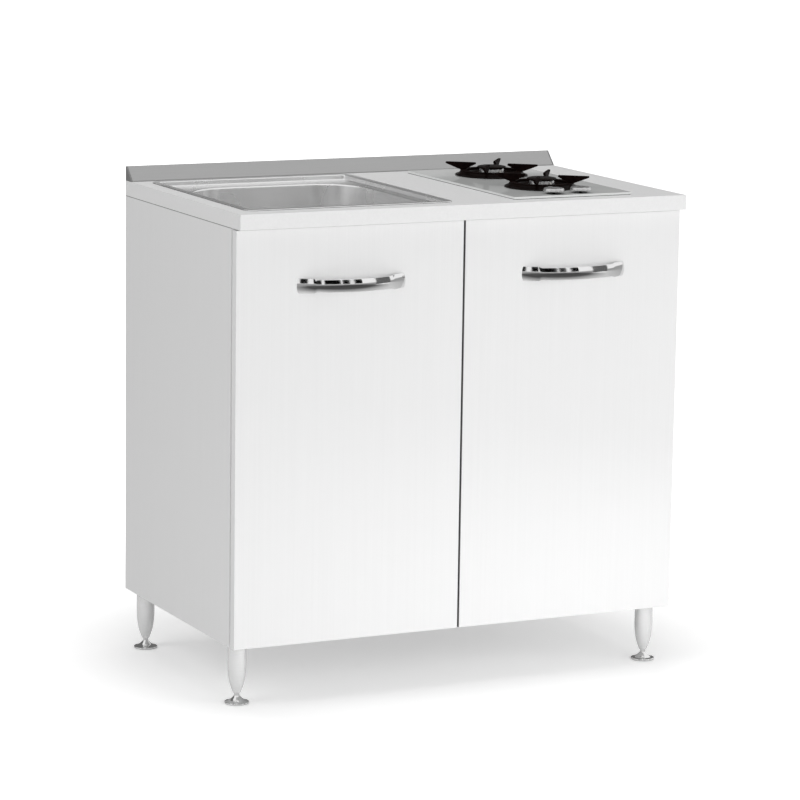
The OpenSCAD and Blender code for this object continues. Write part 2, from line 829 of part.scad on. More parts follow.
// Nut with a wide seat that grips one pipe and a narrow mouth for the other
module trap_nut_ring(wide, narrow) {
    step = trap_nut_h / 2 + seat_clearance;
    r_out = wide + trap_nut_wall;
    rotate_extrude() polygon([
        [wide, 0], [r_out - trap_nut_edge, 0], [r_out, trap_nut_edge],
        [r_out, trap_nut_h - trap_nut_edge], [r_out - trap_nut_edge, trap_nut_h],
        [narrow, trap_nut_h], [narrow, step], [wide, step]]);
}

// One nut joins the drain's outlet to the trap, the other the trap's branch to the pipe
module trap_nuts() {
    color("gainsboro") {
        translate([drain_x, drain_y, outlet_z - trap_nut_h / 2])
            trap_nut_ring(pipe_d / 2 + seat_clearance, outlet_r + seat_clearance);
        translate([drain_x, branch_y - trap_nut_h / 2, branch_z]) rotate([-90, 0, 0])
            trap_nut_ring(branch_r + seat_clearance, spigot_r + seat_clearance);
    }
}

// The pipe's thinner spigot sits in the trap's branch; its full width starts after the nut
module waste_pipe() {
    y0 = branch_y - spigot_len;
    color("white") difference() {
        union() {
            rod_y([drain_x, y0, branch_z], spigot_r, pipe_start_y - y0 + eps);
            rod_y([drain_x, pipe_start_y, branch_z], pipe_d / 2, pipe_end_y - pipe_start_y);
        }
        rod_y([drain_x, y0 - eps, branch_z], pipe_d / 2 - pipe_wall,
            pipe_end_y - y0 + 2 * eps);
    }
}

// ---- Hob ----

module hob_glass() {
    color("white") difference() {
        translate([0, 0, glass_z]) linear_extrude(glass_t) round_rect(hob, hob_corner_r);
        for (y = burner_ys)
            rod_z([hob_x, y, glass_z - eps], cup_throat_d / 2 + 1, glass_t + 2 * eps);
        for (x = knob_xs)
            rod_z([x, knob_y, glass_z - eps], neck_d / 2 + seat_clearance, glass_t + 2 * eps);
    }
}

module hob_seal() {
    color("dimgray") translate([0, 0, worktop_top_z]) linear_extrude(hob_seal_t) difference() {
        round_rect(hob, hob_corner_r, 1);
        round_rect(hob, hob_corner_r, hob_cut_inset);
    }
}

module hob_tray() {
    x0 = hob[0] + tray_inset;
    x1 = hob[1] - tray_inset;
    y0 = hob[2] + tray_inset;
    y1 = hob[3] - tray_inset;
    color("silver") difference() {
        box([x0, y0, tray_z], [x1, y1, glass_z]);
        box([x0 + tray_sheet, y0 + tray_sheet, tray_z + tray_sheet],
            [x1 - tray_sheet, y1 - tray_sheet, glass_z + eps]);
        rod_z([gas_run_x, inlet_y, tray_z - eps], inlet_d / 2 + 1, tray_sheet + 2 * eps);
        for (share = [0.2:0.15:0.8])
            translate([hob_x - vent_len / 2, hob[2] + share * hob_d, tray_z - eps])
                cube([vent_len, vent_w, tray_sheet + 2 * eps]);
    }
}

// Clamps on the tray's long sides, which reach under the worktop
hob_clamp_w = 18;

module hob_clamps() {
    reach = cutout_clearance + 12;
    drop = under_z - tray_z;
    color("silver") for (side = [0, 1], y = [0.22, 0.78] * hob_d)
        translate([hob_x, hob[2] + y, tray_z]) mirror([side, 0, 0])
            translate([hob_w / 2 - tray_inset, hob_clamp_w / 2, 0]) rotate([90, 0, 0])
            linear_extrude(hob_clamp_w) polygon([
                [0, 2], [clip_t, 2], [clip_t, drop - clip_t], [reach, drop - clip_t],
                [reach, drop], [0, drop]]);
}

module tap_body(x) {
    difference() {
        union() {
            rod_z([x, knob_y, tap_z], tap_d / 2, tap_top_z - tap_z);
            rod_z([x, knob_y, tap_top_z], neck_d / 2, glass_top - tap_top_z);
            rod_z([x, knob_y, glass_top], bezel_d / 2, bezel_h);
            rod_y([x, knob_y, burner_pipe_z], tap_outlet_d / 2, tap_d / 2 + tap_outlet_len);
        }
        rod_z([x, knob_y, tap_z + tap_floor], spindle_d / 2 + running_clearance,
            glass_top + bezel_h - tap_z);
        rod_x([x - tap_d, gas_rail_y, gas_rail_z], rail_pipe_d / 2 + seat_clearance, 2 * tap_d);
    }
}

module gas_taps() {
    color("darkgoldenrod") for (x = knob_xs) tap_body(x);
}

module tap_spindle(x) {
    color("goldenrod") rod_z([x, knob_y, spindle_z], spindle_d / 2, spindle_top_z - spindle_z);
}

module left_tap_spindle() tap_spindle(knob_xs[0]);
module right_tap_spindle() tap_spindle(knob_xs[1]);

// Turned knob with a shallow dished top, a grip ridge and a pointer groove
module knob(x) {
    r = knob_d / 2;
    color("silver") translate([x, knob_y, knob_z]) difference() {
        union() {
            rotate_extrude($fn = 96) polygon([
                [0, 0], [r - 2.4, 0], [r - 0.4, 0.8], [r, 1.6], [r - 0.8, knob_h - 2.4],
                [r - 1.6, knob_h - 1.4], [r - 3, knob_h - 1], [0, knob_h - 1.6]]);
            intersection() {
                rod_z([0, 0, 1], r - 2.2, knob_h - 1);
                translate([-3, -r, 1]) cube([6, 2 * r, knob_h - 1]);
            }
        }
        rod_z([0, 0, -eps], spindle_d / 2 + running_clearance, spindle_top_z - knob_z + 0.6 + eps);
        translate([-0.6, 4, knob_h - 0.5]) cube([1.2, r, 2]);
    }
}

module left_knob() knob(knob_xs[0]);
module right_knob() knob(knob_xs[1]);

// Supply pipe behind the taps, then along the tray's right side to the inlet
module gas_rail() {
    r = rail_pipe_d / 2;
    x0 = knob_xs[0] - rail_stub;
    color("goldenrod") difference() {
        union() {
            rod_x([x0, gas_rail_y, gas_rail_z], r, gas_run_x - x0);
            translate([gas_run_x, gas_rail_y, gas_rail_z]) sphere(r = r);
            rod_y([gas_run_x, gas_rail_y, gas_rail_z], r, inlet_y - gas_rail_y);
            translate([gas_run_x, inlet_y, gas_rail_z]) sphere(r = r);
            rod_z([gas_run_x, inlet_y, tray_z - inlet_len], r, gas_rail_z - tray_z + inlet_len);
            rod_z([gas_run_x, inlet_y, tray_z - inlet_len], inlet_d / 2,
                inlet_len - seat_clearance);
        }
        rod_z([gas_run_x, inlet_y, tray_z - inlet_len - eps], inlet_bore_d / 2,
            inlet_bore_h + eps);
    }
}

// Tube that runs back from a tap at [x, y], bends and meets an injector's side at x = end_x
module bent_tube(x, y, end_x, end_y, z) {
    r = burner_pipe_d / 2;
    way = end_x > x ? 0 : 1;
    run = abs(end_x - x) - pipe_bend_r;
    translate([x, 0, z]) mirror([way, 0, 0]) {
        rod_y([0, y, 0], r, end_y - pipe_bend_r - y);
        translate([pipe_bend_r, end_y - pipe_bend_r, 0]) rotate([0, 0, 90])
            rotate_extrude(angle = 90) translate([pipe_bend_r, 0]) circle(r = r);
        rod_x([pipe_bend_r, end_y, 0], r, run);
    }
}

// Thin tubes from each tap to its burner's injector
module burner_pipes() {
    z = burner_pipe_z;
    y0 = knob_y + tap_d / 2 + tap_outlet_len;
    color("silver") {
        bent_tube(knob_xs[0], y0, hob_x - injector_d / 2, burner_ys[0], z);
        bent_tube(knob_xs[1], y0, hob_x + injector_d / 2, burner_ys[1], z);
    }
}

// Black cup: a shallow dish on the glass with a seat for the pan support and a moat inside
// it, and the mixing throat and injector holder below
module burner_cup(y) {
    r = burner_cup_d / 2;
    moat_r = support_ring_r - support_ring_w - 1;
    throat_r = cup_throat_d / 2;
    crown_r = crown_d / 2;
    color("black") difference() {
        translate([hob_x, y, 0]) rotate_extrude($fn = 96) polygon([
            [0, injector_z], [injector_d / 2, injector_z], [injector_d / 2, cup_throat_z],
            [throat_r, cup_throat_z], [throat_r, glass_top], [r - 1.5, glass_top],
            [r, glass_top + 1.2], [r - 1, glass_top + 2.2],
            [r - cup_shoulder * 0.7, glass_top + burner_cup_h * 0.6],
            [support_ring_r + 0.8, cup_top], [support_ring_r + 0.3, cup_top + cup_lip],
            [support_ring_r + 0.3, cup_top - seat_sink], [moat_r, cup_top - seat_sink],
            [moat_r - cup_moat, cup_top - seat_sink - cup_moat],
            [crown_r + 1.2 + cup_moat, cup_top - seat_sink - cup_moat],
            [crown_r + 1.2, cup_top - seat_sink],
            [crown_r + 0.3, crown_seat], [crown_r - 5, crown_seat], [crown_r - 5, crown_seat - 3],
            [0, crown_seat - 3]]);
        for (a = igniter_angles)
            translate([hob_x, y, 0]) rotate([0, 0, a])
                rod_z([igniter_r, 0, injector_z - eps], igniter_d / 2 + seat_clearance,
                    cup_top - injector_z + 2 * eps);
    }
}

module rear_burner_cup() burner_cup(burner_ys[0]);
module front_burner_cup() burner_cup(burner_ys[1]);

// Aluminium crown with a ring of flame slots
module burner_crown(y) {
    r = crown_d / 2;
    color("silver") translate([hob_x, y, 0]) difference() {
        rotate_extrude($fn = 96) polygon([
            [r - 9, crown_seat - 2.6], [r - 5.4, crown_seat - 2.6], [r - 5.4, crown_seat],
            [r - 0.2, crown_seat], [r, crown_seat + 1], [r - 0.8, crown_top - 2.5],
            [r - 2, crown_top], [r - 5, crown_top], [r - 5.6, crown_seat + 3],
            [r - 9, crown_seat + 3]]);
        for (i = [0:flame_slots - 1])
            rotate([0, 0, 360 * i / flame_slots])
                translate([r - 7, -0.6, crown_top - 3.4]) cube([10, 1.2, 5]);
    }
}

module rear_burner_crown() burner_crown(burner_ys[0]);
module front_burner_crown() burner_crown(burner_ys[1]);

// Enamelled cap: a low dome with a rounded rim and a locating ring below
module burner_cap(y) {
    r = cap_d / 2;
    color("black") translate([hob_x, y, crown_top]) rotate_extrude($fn = 96) polygon([
        [0, -1.5], [crown_d / 2 - 7, -1.5], [crown_d / 2 - 7, 0], [r - 1.2, 0], [r - 0.3, 0.5],
        [r, 1.4], [r - 0.4, 2.4], [r - 1.8, 3.2], [r - 6, 4], [r * 0.55, 4.7], [0, cap_h]]);
}

module rear_burner_cap() burner_cap(burner_ys[0]);
module front_burner_cap() burner_cap(burner_ys[1]);

// Cast support: a ring on the cup and four arms with flat tops, which spread from the ring
// inwards to the cap and outwards to their tips
module pan_support(y) {
    r_out = support_ring_r;
    r_in = r_out - support_ring_w;
    z0 = cup_top - seat_sink;
    h = support_top - z0;
    tip = support_span / 2;
    bevel = support_t / 4;
    nose = cap_d / 2 + support_cap_gap;
    root_z = seat_sink + cup_lip + 4 * seat_clearance;
    color([0.13, 0.11, 0.1]) translate([hob_x, y, z0]) {
        difference() {
            cylinder(r = r_out, h = support_ring_h, $fn = 96);
            translate([0, 0, -eps]) cylinder(r = r_in, h = support_ring_h + 2 * eps, $fn = 96);
        }
        for (i = [0:3])
            rotate([0, 0, 45 + support_turn + 90 * i])
                rotate([90, 0, 0]) translate([0, 0, -support_t / 2])
                linear_extrude(support_t) polygon([
                    [r_in + bevel, 0], [r_out - bevel, 0], [r_out - bevel, root_z],
                    [tip - bevel, h - 3 * bevel], [tip, h - 2 * bevel],
                    [tip - bevel / 2, h - bevel / 2], [tip - 1.5 * bevel, h],
                    [nose + bevel, h], [nose, h - bevel], [nose, h - 3 * bevel],
                    [r_in + bevel, support_ring_h + bevel]]);
    }
}

module rear_pan_support() pan_support(burner_ys[0]);
module front_pan_support() pan_support(burner_ys[1]);

// A spark plug and a flame sensor beside each crown
module igniters() {
    color("ivory") for (y = burner_ys, a = igniter_angles)
        translate([hob_x, y, 0]) rotate([0, 0, a]) {
            rod_z([igniter_r, 0, injector_z + 2], igniter_d / 2, crown_seat + 2 - injector_z);
            rod_z([igniter_r, 0, crown_seat + 4], 0.9, crown_h - 4.5);
        }
}

// ---- Doors ----

module at_hinges() {
    for (z = hinge_zs) translate([0, 0, z]) children();
}

// Right-hand door; the left one is its mirror image
module door() {
    color("white") difference() {
        box([door_middle_gap / 2, door_front_y, door_z],
            [door_middle_gap / 2 + door_w, door_back_y, door_z + door_h]);
        at_hinges() rod_y([cup_x, door_back_y - cup_depth - seat_clearance, 0],
            cup_d / 2 + seat_clearance, cup_depth + seat_clearance + eps);
        for (side = [-1, 1])
            rod_y([door_mid_x + side * handle_pitch / 2, door_front_y - eps, handle_z],
                handle_screw_r + seat_clearance, door_t + 2 * eps);
    }
}

module right_door() door();
module left_door() mirror([1, 0, 0]) door();

// Front outline of the handle: a strip that flares to its wide ends in round hollows
module handle_outline() {
    waist = handle_chord / 2 - handle_end_len;
    difference() {
        square([handle_chord + 2 * eps, handle_end_h + 2 * eps], center = true);
        for (side = [0, 1]) mirror([0, side]) {
            translate([-waist, handle_h / 2]) square([2 * waist, handle_flare_r]);
            for (x = [-waist, waist])
                translate([x, handle_h / 2 + handle_flare_r]) circle(r = handle_flare_r);
        }
    }
}

// Bow handle: a flat strip with wide ends, bent to an arc and thickened at its two feet
module handle() {
    y_centre = door_front_y - handle_out + handle_r;
    hole_y = door_front_y - handle_screw_grip - seat_clearance;
    color("silver") difference() {
        union() {
            translate([door_mid_x, y_centre, handle_z]) intersection() {
                rotate_extrude($fn = 180) round_rect([handle_r - handle_t, handle_r,
                    -handle_end_h / 2, handle_end_h / 2], handle_edge_r);
                translate([0, handle_out - handle_r, 0]) rotate([90, 0, 0])
                    linear_extrude(handle_out + eps) handle_outline();
            }
            for (side = [-1, 1])
                rod_y([door_mid_x + side * handle_pitch / 2, door_front_y - handle_foot_t, handle_z],
                    handle_foot_r, handle_foot_t);
        }
        for (side = [-1, 1])
            rod_y([door_mid_x + side * handle_pitch / 2, hole_y, handle_z],
                handle_screw_r + seat_clearance, handle_foot_t);
    }
}

module right_handle() handle();
module left_handle() mirror([1, 0, 0]) handle();

module handle_screws() {
    color("silver") for (side = [-1, 1])
        translate([door_mid_x + side * handle_pitch / 2, 0, handle_z]) {
            rod_y([0, door_front_y - handle_screw_grip, 0], handle_screw_r,
                door_t + handle_screw_grip);
            translate([0, door_back_y, 0]) rotate([-90, 0, 0]) rotate_extrude() polygon([
                [0, 0], [4.2, 0], [4, 1], [3, 1.9], [0, 2.2]]);
        }
}

module right_handle_screws() handle_screws();
module left_handle_screws() mirror([1, 0, 0]) handle_screws();

// Pressed cup with its flange and the pin across it
module hinge_cup() {
    r = cup_d / 2;
    pin_r = hinge_pin_d / 2;
    pin_half = sqrt(pow(r - cup_wall * 0.3, 2) - pow(pin_x - cup_x + pin_r, 2));
    color("silver") {
        difference() {
            union() {
                rod_y([cup_x, door_back_y - cup_depth, 0], r, cup_depth);
                translate([cup_x, door_back_y + 0.8, 0]) rotate([90, 0, 0])
                    linear_extrude(0.8) {
                        circle(r = r + 1.5);
                        for (z = [-1, 1]) translate([0, z * (r + 7)]) circle(r = 7);
                        translate([-7, -r - 7]) square([14, 2 * r + 14]);
                    }
            }
            rod_y([cup_x, door_back_y - cup_depth + cup_wall, 0], r - cup_wall, cup_depth + 2);
            for (z = [-1, 1])
                rod_y([cup_x, door_back_y - eps, z * (r + 7)], 2.2, 2);
        }
        translate([pin_x, pin_y, -pin_half]) cylinder(r = pin_r, h = 2 * pin_half);
    }
}

module right_hinge_cups() at_hinges() hinge_cup();
module left_hinge_cups() mirror([1, 0, 0]) at_hinges() hinge_cup();

// Cranked arm: a knuckle round the pin, out of the cup's mouth and back along the side
module hinge_arm() {
    neck_x = inner_x - arm_side_gap - arm_t / 2;
    bar_y = carcass_y + arm_start;
    plate_face = inner_x - plate_t;
    color("gainsboro") difference() {
        union() {
            translate([pin_x, pin_y, -knuckle_h / 2]) cylinder(r = knuckle_r, h = knuckle_h);
            box([neck_x - arm_t / 2, pin_y - arm_t / 2, -knuckle_h / 2],
                [pin_x, pin_y + arm_t / 2, knuckle_h / 2]);
            box([neck_x - arm_t / 2, pin_y - arm_t / 2, -knuckle_h / 2],
                [neck_x + arm_t / 2, bar_y + 1, knuckle_h / 2]);
            difference() {
                box([plate_face - 9, bar_y, -7], [plate_face, bar_y + arm_len, 7]);
                box([plate_face - 7.5, bar_y + 2, -5.5], [plate_face + eps, bar_y + arm_len + eps, 5.5]);
            }
        }
        translate([pin_x, pin_y, -knuckle_h]) cylinder(r = hinge_pin_d / 2 + running_clearance,
            h = 2 * knuckle_h);
        for (y = [plate_setback, plate_setback + 18])
            rod_x([plate_face - 10, carcass_y + y + 5, 0], 2.6, 4);
    }
}

module hinge_arms() {
    for (side = [0, 1]) mirror([side, 0, 0]) at_hinges() hinge_arm();
}

module hinge_plate_screws(grow) {
    at_hinges() for (z = [-1, 1])
        rod_x([inner_x - plate_t - eps, carcass_y + plate_setback + plate_len / 2,
            z * plate_screw_pitch / 2], plate_screw_d / 2 - 1 + grow, 13 + plate_t + eps);
}

module hinge_plate() {
    y0 = carcass_y + plate_setback;
    box([inner_x - plate_t, y0, -8], [inner_x, y0 + plate_len, 8]);
    box([inner_x - plate_t, y0 + 10, -plate_h / 2], [inner_x, y0 + plate_len - 10, plate_h / 2]);
    box([inner_x - plate_t - 5.5, y0 + 3, -5], [inner_x, y0 + plate_len - 3, 5]);
}

module hinge_plates() {
    color("silver") for (side = [0, 1]) mirror([side, 0, 0]) difference() {
        at_hinges() hinge_plate();
        hinge_plate_screws(seat_clearance);
    }
}

// ---- Legs ----

module leg_sockets() {
    color("dimgray") for (x = leg_xs, y = leg_ys) {
        rod_z([x, y, leg_top_z], leg_d / 2 - 0.5, socket_flange);
        rod_z([x, y, leg_h], socket_plug_d / 2, socket_plug_h);
    }
}

// Spun leg: a straight top that tapers in a long curve to a narrow neck
module leg() {
    r = leg_d / 2;
    h = leg_top_z - leg_bottom_z;
    color("silver") difference() {
        translate([0, 0, leg_bottom_z]) rotate_extrude($fn = 96) polygon([
            [0, 0], [stem_d / 2 + 2, 0], [stem_d / 2 + 2.6, h * 0.02], [r * 0.6, h * 0.095],
            [r * 0.72, h * 0.16], [r * 0.81, h * 0.225], [r * 0.89, h * 0.31],
            [r * 0.95, h * 0.4], [r * 0.985, h * 0.48], [r, h * 0.56],
            [r, h - 0.8], [r - 0.8, h], [0, h]]);
        rod_z([0, 0, leg_bottom_z - eps], stem_d / 2 + running_clearance,
            stem_bore_z - leg_bottom_z + eps);
    }
}

module legs() {
    for (x = leg_xs, y = leg_ys) translate([x, y, 0]) leg();
}

// Levelling foot: a flared disc on a threaded stem
module foot(x, y) {
    r = foot_d / 2;
    s = stem_d / 2;
    color("gainsboro") translate([x, y, 0]) rotate_extrude($fn = 96) polygon([
        [0, 0], [r - 1, 0], [r, 1], [r, 3], [r - 1.2, 4.2], [r * 0.72, 5.6], [r * 0.52, 8],
        [s + 2, 10.5], [s + 1.2, 13], [s, 14], [s, stem_top_z - 1], [s - 1, stem_top_z],
        [0, stem_top_z]]);
}

module front_left_foot() foot(leg_xs[0], leg_ys[0]);
module front_right_foot() foot(leg_xs[1], leg_ys[0]);
module rear_left_foot() foot(leg_xs[0], leg_ys[1]);
module rear_right_foot() foot(leg_xs[1], leg_ys[1]);

left_side_panel();
right_side_panel();
bottom_panel();
front_rail();
rear_rail();
back_panel();
cam_locks();
cam_bolts();
wood_dowels();
worktop_brackets();
worktop();
splashback();
splashback_end_caps();
splashback_screws();
sink_bowl();
sink_seal();
sink_clips();
drain_body();
drain_gasket();
drain_nut();
strainer_basket();
trap_body();
trap_nuts();
waste_pipe();
hob_glass();
hob_seal();
hob_tray();
hob_clamps();
rear_burner_cup();
front_burner_cup();
rear_burner_crown();
front_burner_crown();
rear_burner_cap();
front_burner_cap();
rear_pan_support();
front_pan_support();
left_knob();
right_knob();
left_tap_spindle();
right_tap_spindle();
gas_taps();
gas_rail();
burner_pipes();
igniters();
left_door();
right_door();
left_handle();
right_handle();
left_handle_screws();
right_handle_screws();
left_hinge_cups();
right_hinge_cups();
hinge_arms();
hinge_plates();
leg_sockets();
legs();
front_left_foot();
front_right_foot();
rear_left_foot();
rear_right_foot();
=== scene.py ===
"""Looks of a two-door kitchenette unit with an inset sink and a two-burner glass hob.

Every length is in metres in the part's own frame: X to the right, doors facing -Y, Z up from
the floor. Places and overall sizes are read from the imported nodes, so the dressed pieces sit
where the solids are. Order: camera, finishes, mesh helpers, studio, then piece by piece.
"""

import json
import math

import bmesh
import bpy
from mathutils import Matrix, Vector


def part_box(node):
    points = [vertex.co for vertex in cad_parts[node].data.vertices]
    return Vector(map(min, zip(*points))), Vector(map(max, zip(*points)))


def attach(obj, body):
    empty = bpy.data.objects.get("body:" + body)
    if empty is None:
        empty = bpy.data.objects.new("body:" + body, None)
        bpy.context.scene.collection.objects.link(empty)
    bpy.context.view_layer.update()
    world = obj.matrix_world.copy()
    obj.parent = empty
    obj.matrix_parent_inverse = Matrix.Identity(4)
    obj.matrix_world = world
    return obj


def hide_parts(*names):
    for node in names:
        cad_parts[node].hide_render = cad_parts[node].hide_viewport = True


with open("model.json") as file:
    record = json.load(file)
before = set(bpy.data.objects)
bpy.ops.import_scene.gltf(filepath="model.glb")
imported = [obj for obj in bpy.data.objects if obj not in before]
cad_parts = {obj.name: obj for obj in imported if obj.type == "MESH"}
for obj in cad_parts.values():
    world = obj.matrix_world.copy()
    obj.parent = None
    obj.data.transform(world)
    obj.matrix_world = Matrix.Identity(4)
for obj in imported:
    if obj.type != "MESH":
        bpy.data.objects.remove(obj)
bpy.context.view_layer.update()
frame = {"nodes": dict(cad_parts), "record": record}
MM = 0.001

NODES = frame["nodes"]
RECORD = frame["record"]
BODY_OF = {node: body for body, nodes in RECORD["behaviour"]["bodies"].items() for node in nodes}
SLOT_OF = {entry["node"]: entry["material_slot"] for entry in RECORD["subparts"]}


# ---------------------------------------------------------------- camera

# Fitted to the corners of the worktop, the doors, the panels and the feet in the photograph
CAMERA_AT = Vector((-2.874, -5.920, 1.673))
CAMERA_YAW = -0.4513
CAMERA_PITCH = 0.1768
CAMERA_ROLL = 0.0145
CAMERA_LENS = 159.2
CAMERA_REACH = 200.0


def add_camera():
    data = bpy.data.cameras.new("photo_camera")
    data.lens = CAMERA_LENS
    data.sensor_width = 36.0
    data.clip_end = CAMERA_REACH
    camera = bpy.data.objects.new("photo_camera", data)
    bpy.context.collection.objects.link(camera)
    turn = (Matrix.Rotation(CAMERA_YAW, 4, "Z")
            @ Matrix.Rotation(math.pi / 2 - CAMERA_PITCH, 4, "X")
            @ Matrix.Rotation(CAMERA_ROLL, 4, "Z"))
    camera.matrix_world = Matrix.Translation(CAMERA_AT) @ turn
    bpy.context.scene.camera = camera


# ---------------------------------------------------------------- material nodes

class Finish:
    """A procedural material: a Principled shader and short calls that feed it."""

    def __init__(self, name, colour, roughness, metallic=0.0, **sockets):
        self.material = bpy.data.materials.new(name)
        self.material.use_nodes = True
        self.tree = self.material.node_tree
        self.shader = self.tree.nodes["Principled BSDF"]
        self.set("Base Color", (*colour, 1.0))
        self.set("Roughness", roughness)
        self.set("Metallic", metallic)
        for socket, value in sockets.items():
            self.set(socket.replace("_", " "), value)
        self.place = self.node("ShaderNodeTexCoord").outputs["Object"]

    def set(self, socket, value):
        self.shader.inputs[socket].default_value = value

    def node(self, kind, **settings):
        made = self.tree.nodes.new(kind)
        for name, value in settings.items():
            setattr(made, name, value)
        return made

    def link(self, output, target):
        self.tree.links.new(output, target)

    def noise(self, scale, detail=2.0, stretch=(1, 1, 1), roughness=0.5):
        """Noise of that scale per metre, with the space stretched first."""
        mapping = self.node("ShaderNodeMapping")
        mapping.inputs["Scale"].default_value = stretch
        self.link(self.place, mapping.inputs["Vector"])
        noise = self.node("ShaderNodeTexNoise")
        noise.inputs["Scale"].default_value = scale
        noise.inputs["Detail"].default_value = detail
        noise.inputs["Roughness"].default_value = roughness
        self.link(mapping.outputs["Vector"], noise.inputs["Vector"])
        return noise.outputs["Fac"]

    def ranged(self, value, low, high, start=0.3, end=0.7):
        """value between start and end becomes a number between low and high."""
        ranged = self.node("ShaderNodeMapRange")
        ranged.inputs["From Min"].default_value = start
        ranged.inputs["From Max"].default_value = end
        ranged.inputs["To Min"].default_value = low
        ranged.inputs["To Max"].default_value = high
        self.link(value, ranged.inputs["Value"])
        return ranged.outputs["Result"]

    def mixed(self, value, colour_a, colour_b, start=0.3, end=0.7):
        """A colour between the two, by value."""
        ramp = self.node("ShaderNodeValToRGB")
        ramp.color_ramp.elements[0].position = start
        ramp.color_ramp.elements[0].color = (*colour_a, 1.0)
        ramp.color_ramp.elements[1].position = end
        ramp.color_ramp.elements[1].color = (*colour_b, 1.0)
        self.link(value, ramp.inputs["Fac"])
        return ramp.outputs["Color"]

    def distance(self, point):
        """How far the surface lies from that point of the part."""
        between = self.node("ShaderNodeVectorMath", operation="DISTANCE")
        self.link(self.place, between.inputs[0])
        between.inputs[1].default_value = point
        return between.outputs["Value"]

    def within(self, axis, low, high):
        """1 where that coordinate of the part lies between the two, 0 elsewhere."""
        split = self.node("ShaderNodeSeparateXYZ")
        self.link(self.place, split.inputs["Vector"])
        inside = self.node("ShaderNodeMath", operation="COMPARE")
        self.link(split.outputs[axis], inside.inputs[0])
        inside.inputs[1].default_value = (low + high) / 2
        inside.inputs[2].default_value = (high - low) / 2
        return inside.outputs["Value"]

    def both(self, one, other):
        """The product of two shares."""
        product = self.node("ShaderNodeMath", operation="MULTIPLY")
        self.link(one, product.inputs[0])
        self.link(other, product.inputs[1])
        return product.outputs["Value"]

    def painted(self, share, under, colour):
        """The colour laid over the one under it by the share."""
        mix = self.node("ShaderNodeMix", data_type="RGBA")
        self.link(share, mix.inputs[0])
        self.link(under, mix.inputs[6])
        mix.inputs[7].default_value = (*colour, 1.0)
        return mix.outputs[2]

    def colour(self, output):
        self.link(output, self.shader.inputs["Base Color"])

    def roughness(self, output):
        self.link(output, self.shader.inputs["Roughness"])

    def bump(self, height, strength, distance):
        bump = self.node("ShaderNodeBump")
        bump.inputs["Strength"].default_value = strength
        bump.inputs["Distance"].default_value = distance
        self.link(height, bump.inputs["Height"])
        self.link(bump.outputs["Normal"], self.shader.inputs["Normal"])


def grey(level):
    """Linear colour of an sRGB grey from 0 to 255."""
    share = level / 255
    linear = share / 12.92 if share <= 0.04045 else ((share + 0.055) / 1.055) ** 2.4
    return (linear, linear, linear)


def tinted(red, green, blue):
    """Linear colour of sRGB red, green and blue from 0 to 255."""
    return (grey(red)[0], grey(green)[0], grey(blue)[0])


# ---------------------------------------------------------------- finishes

DOOR_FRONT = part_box("left_door")[0].y
DOOR_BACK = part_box("left_door")[1].y
WORKTOP_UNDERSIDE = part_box("worktop")[0].z
GLASS_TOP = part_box("hob_glass")[1].z
ABOVE_ALL = 1.0

# Painted shade on the door edges where the doors meet: half its width, and how far it reaches past
# the door
MEETING_HALF = 2.2 * MM
MEETING_FRONT = 1 * MM
MEETING_BACK = 0.3 * MM

# Painted grey shade in the joint under the worktop: how far it reaches below and above
SEAM_BELOW = 1.2 * MM
SEAM_ABOVE = 1 * MM

# A noise that runs along one axis has its space stretched by these
UPRIGHT = (1.0, 1.0, 0.008)
SHORT_UPRIGHT = (1.0, 1.0, 0.25)
SIDEWAYS = (0.006, 1.0, 1.0)
FRONT_TO_BACK = (1.0, 0.012, 1.0)
ALONG_DOWEL = (0.08, 1.0, 1.0)
ROUND_LEG = (0.05, 0.05, 1.0)


def white_melamine():
    """Satin white board: faint upright grain, with painted shade on the edges where the doors meet
    and in the joint along the top under the worktop.
    """
    finish = Finish("white_melamine", grey(241), 0.44, Specular_IOR_Level=0.4)
    grain = finish.noise(380, 3, UPRIGHT)
    face = finish.mixed(grain, grey(240), grey(242))
    door_depth = finish.within("Y", DOOR_FRONT - MEETING_FRONT, DOOR_BACK + MEETING_BACK)
    # Painted shade: the door edges in the gap between the doors are painted grey
    door_gap_shade = finish.both(finish.within("X", -MEETING_HALF, MEETING_HALF), door_depth)
    face = finish.painted(door_gap_shade, face, grey(132))
    # Painted shade: a grey line along the panel tops in the joint under the worktop
    seam_shade = finish.within("Z", WORKTOP_UNDERSIDE - SEAM_BELOW, WORKTOP_UNDERSIDE + SEAM_ABOVE)
    finish.colour(finish.painted(seam_shade, face, grey(120)))
    finish.roughness(finish.ranged(finish.noise(240, 3), 0.41, 0.47))
    finish.bump(finish.noise(900, 2, SHORT_UPRIGHT), 0.04, 0.0002)
    return finish.material


def grey_laminate():
    """Fine matt laminate with a faint mottle."""
    finish = Finish("grey_laminate", grey(241), 0.5, Specular_IOR_Level=0.35)
    mottle = finish.noise(180, 5, roughness=0.7)
    finish.colour(finish.mixed(mottle, grey(239), grey(243)))
    finish.roughness(finish.ranged(finish.noise(60, 3), 0.42, 0.56))
    finish.bump(finish.noise(1400, 2), 0.06, 0.0002)
    return finish.material


def white_hardboard():
    """Thin lacquered board at the back, a little blotchy."""
    finish = Finish("white_hardboard", grey(228), 0.6)
    finish.colour(finish.mixed(finish.noise(90, 4), grey(222), grey(232)))
    finish.bump(finish.noise(500, 3), 0.12, 0.0003)
    return finish.material


def beech():
    """Dowel wood, its grain along X as the dowels lie."""
    finish = Finish("beech", tinted(214, 182, 140), 0.65)
    grain = finish.noise(220, 4, ALONG_DOWEL)
    finish.colour(finish.mixed(grain, tinted(196, 160, 116), tinted(224, 194, 152)))
    finish.bump(grain, 0.15, 0.0002)
    return finish.material


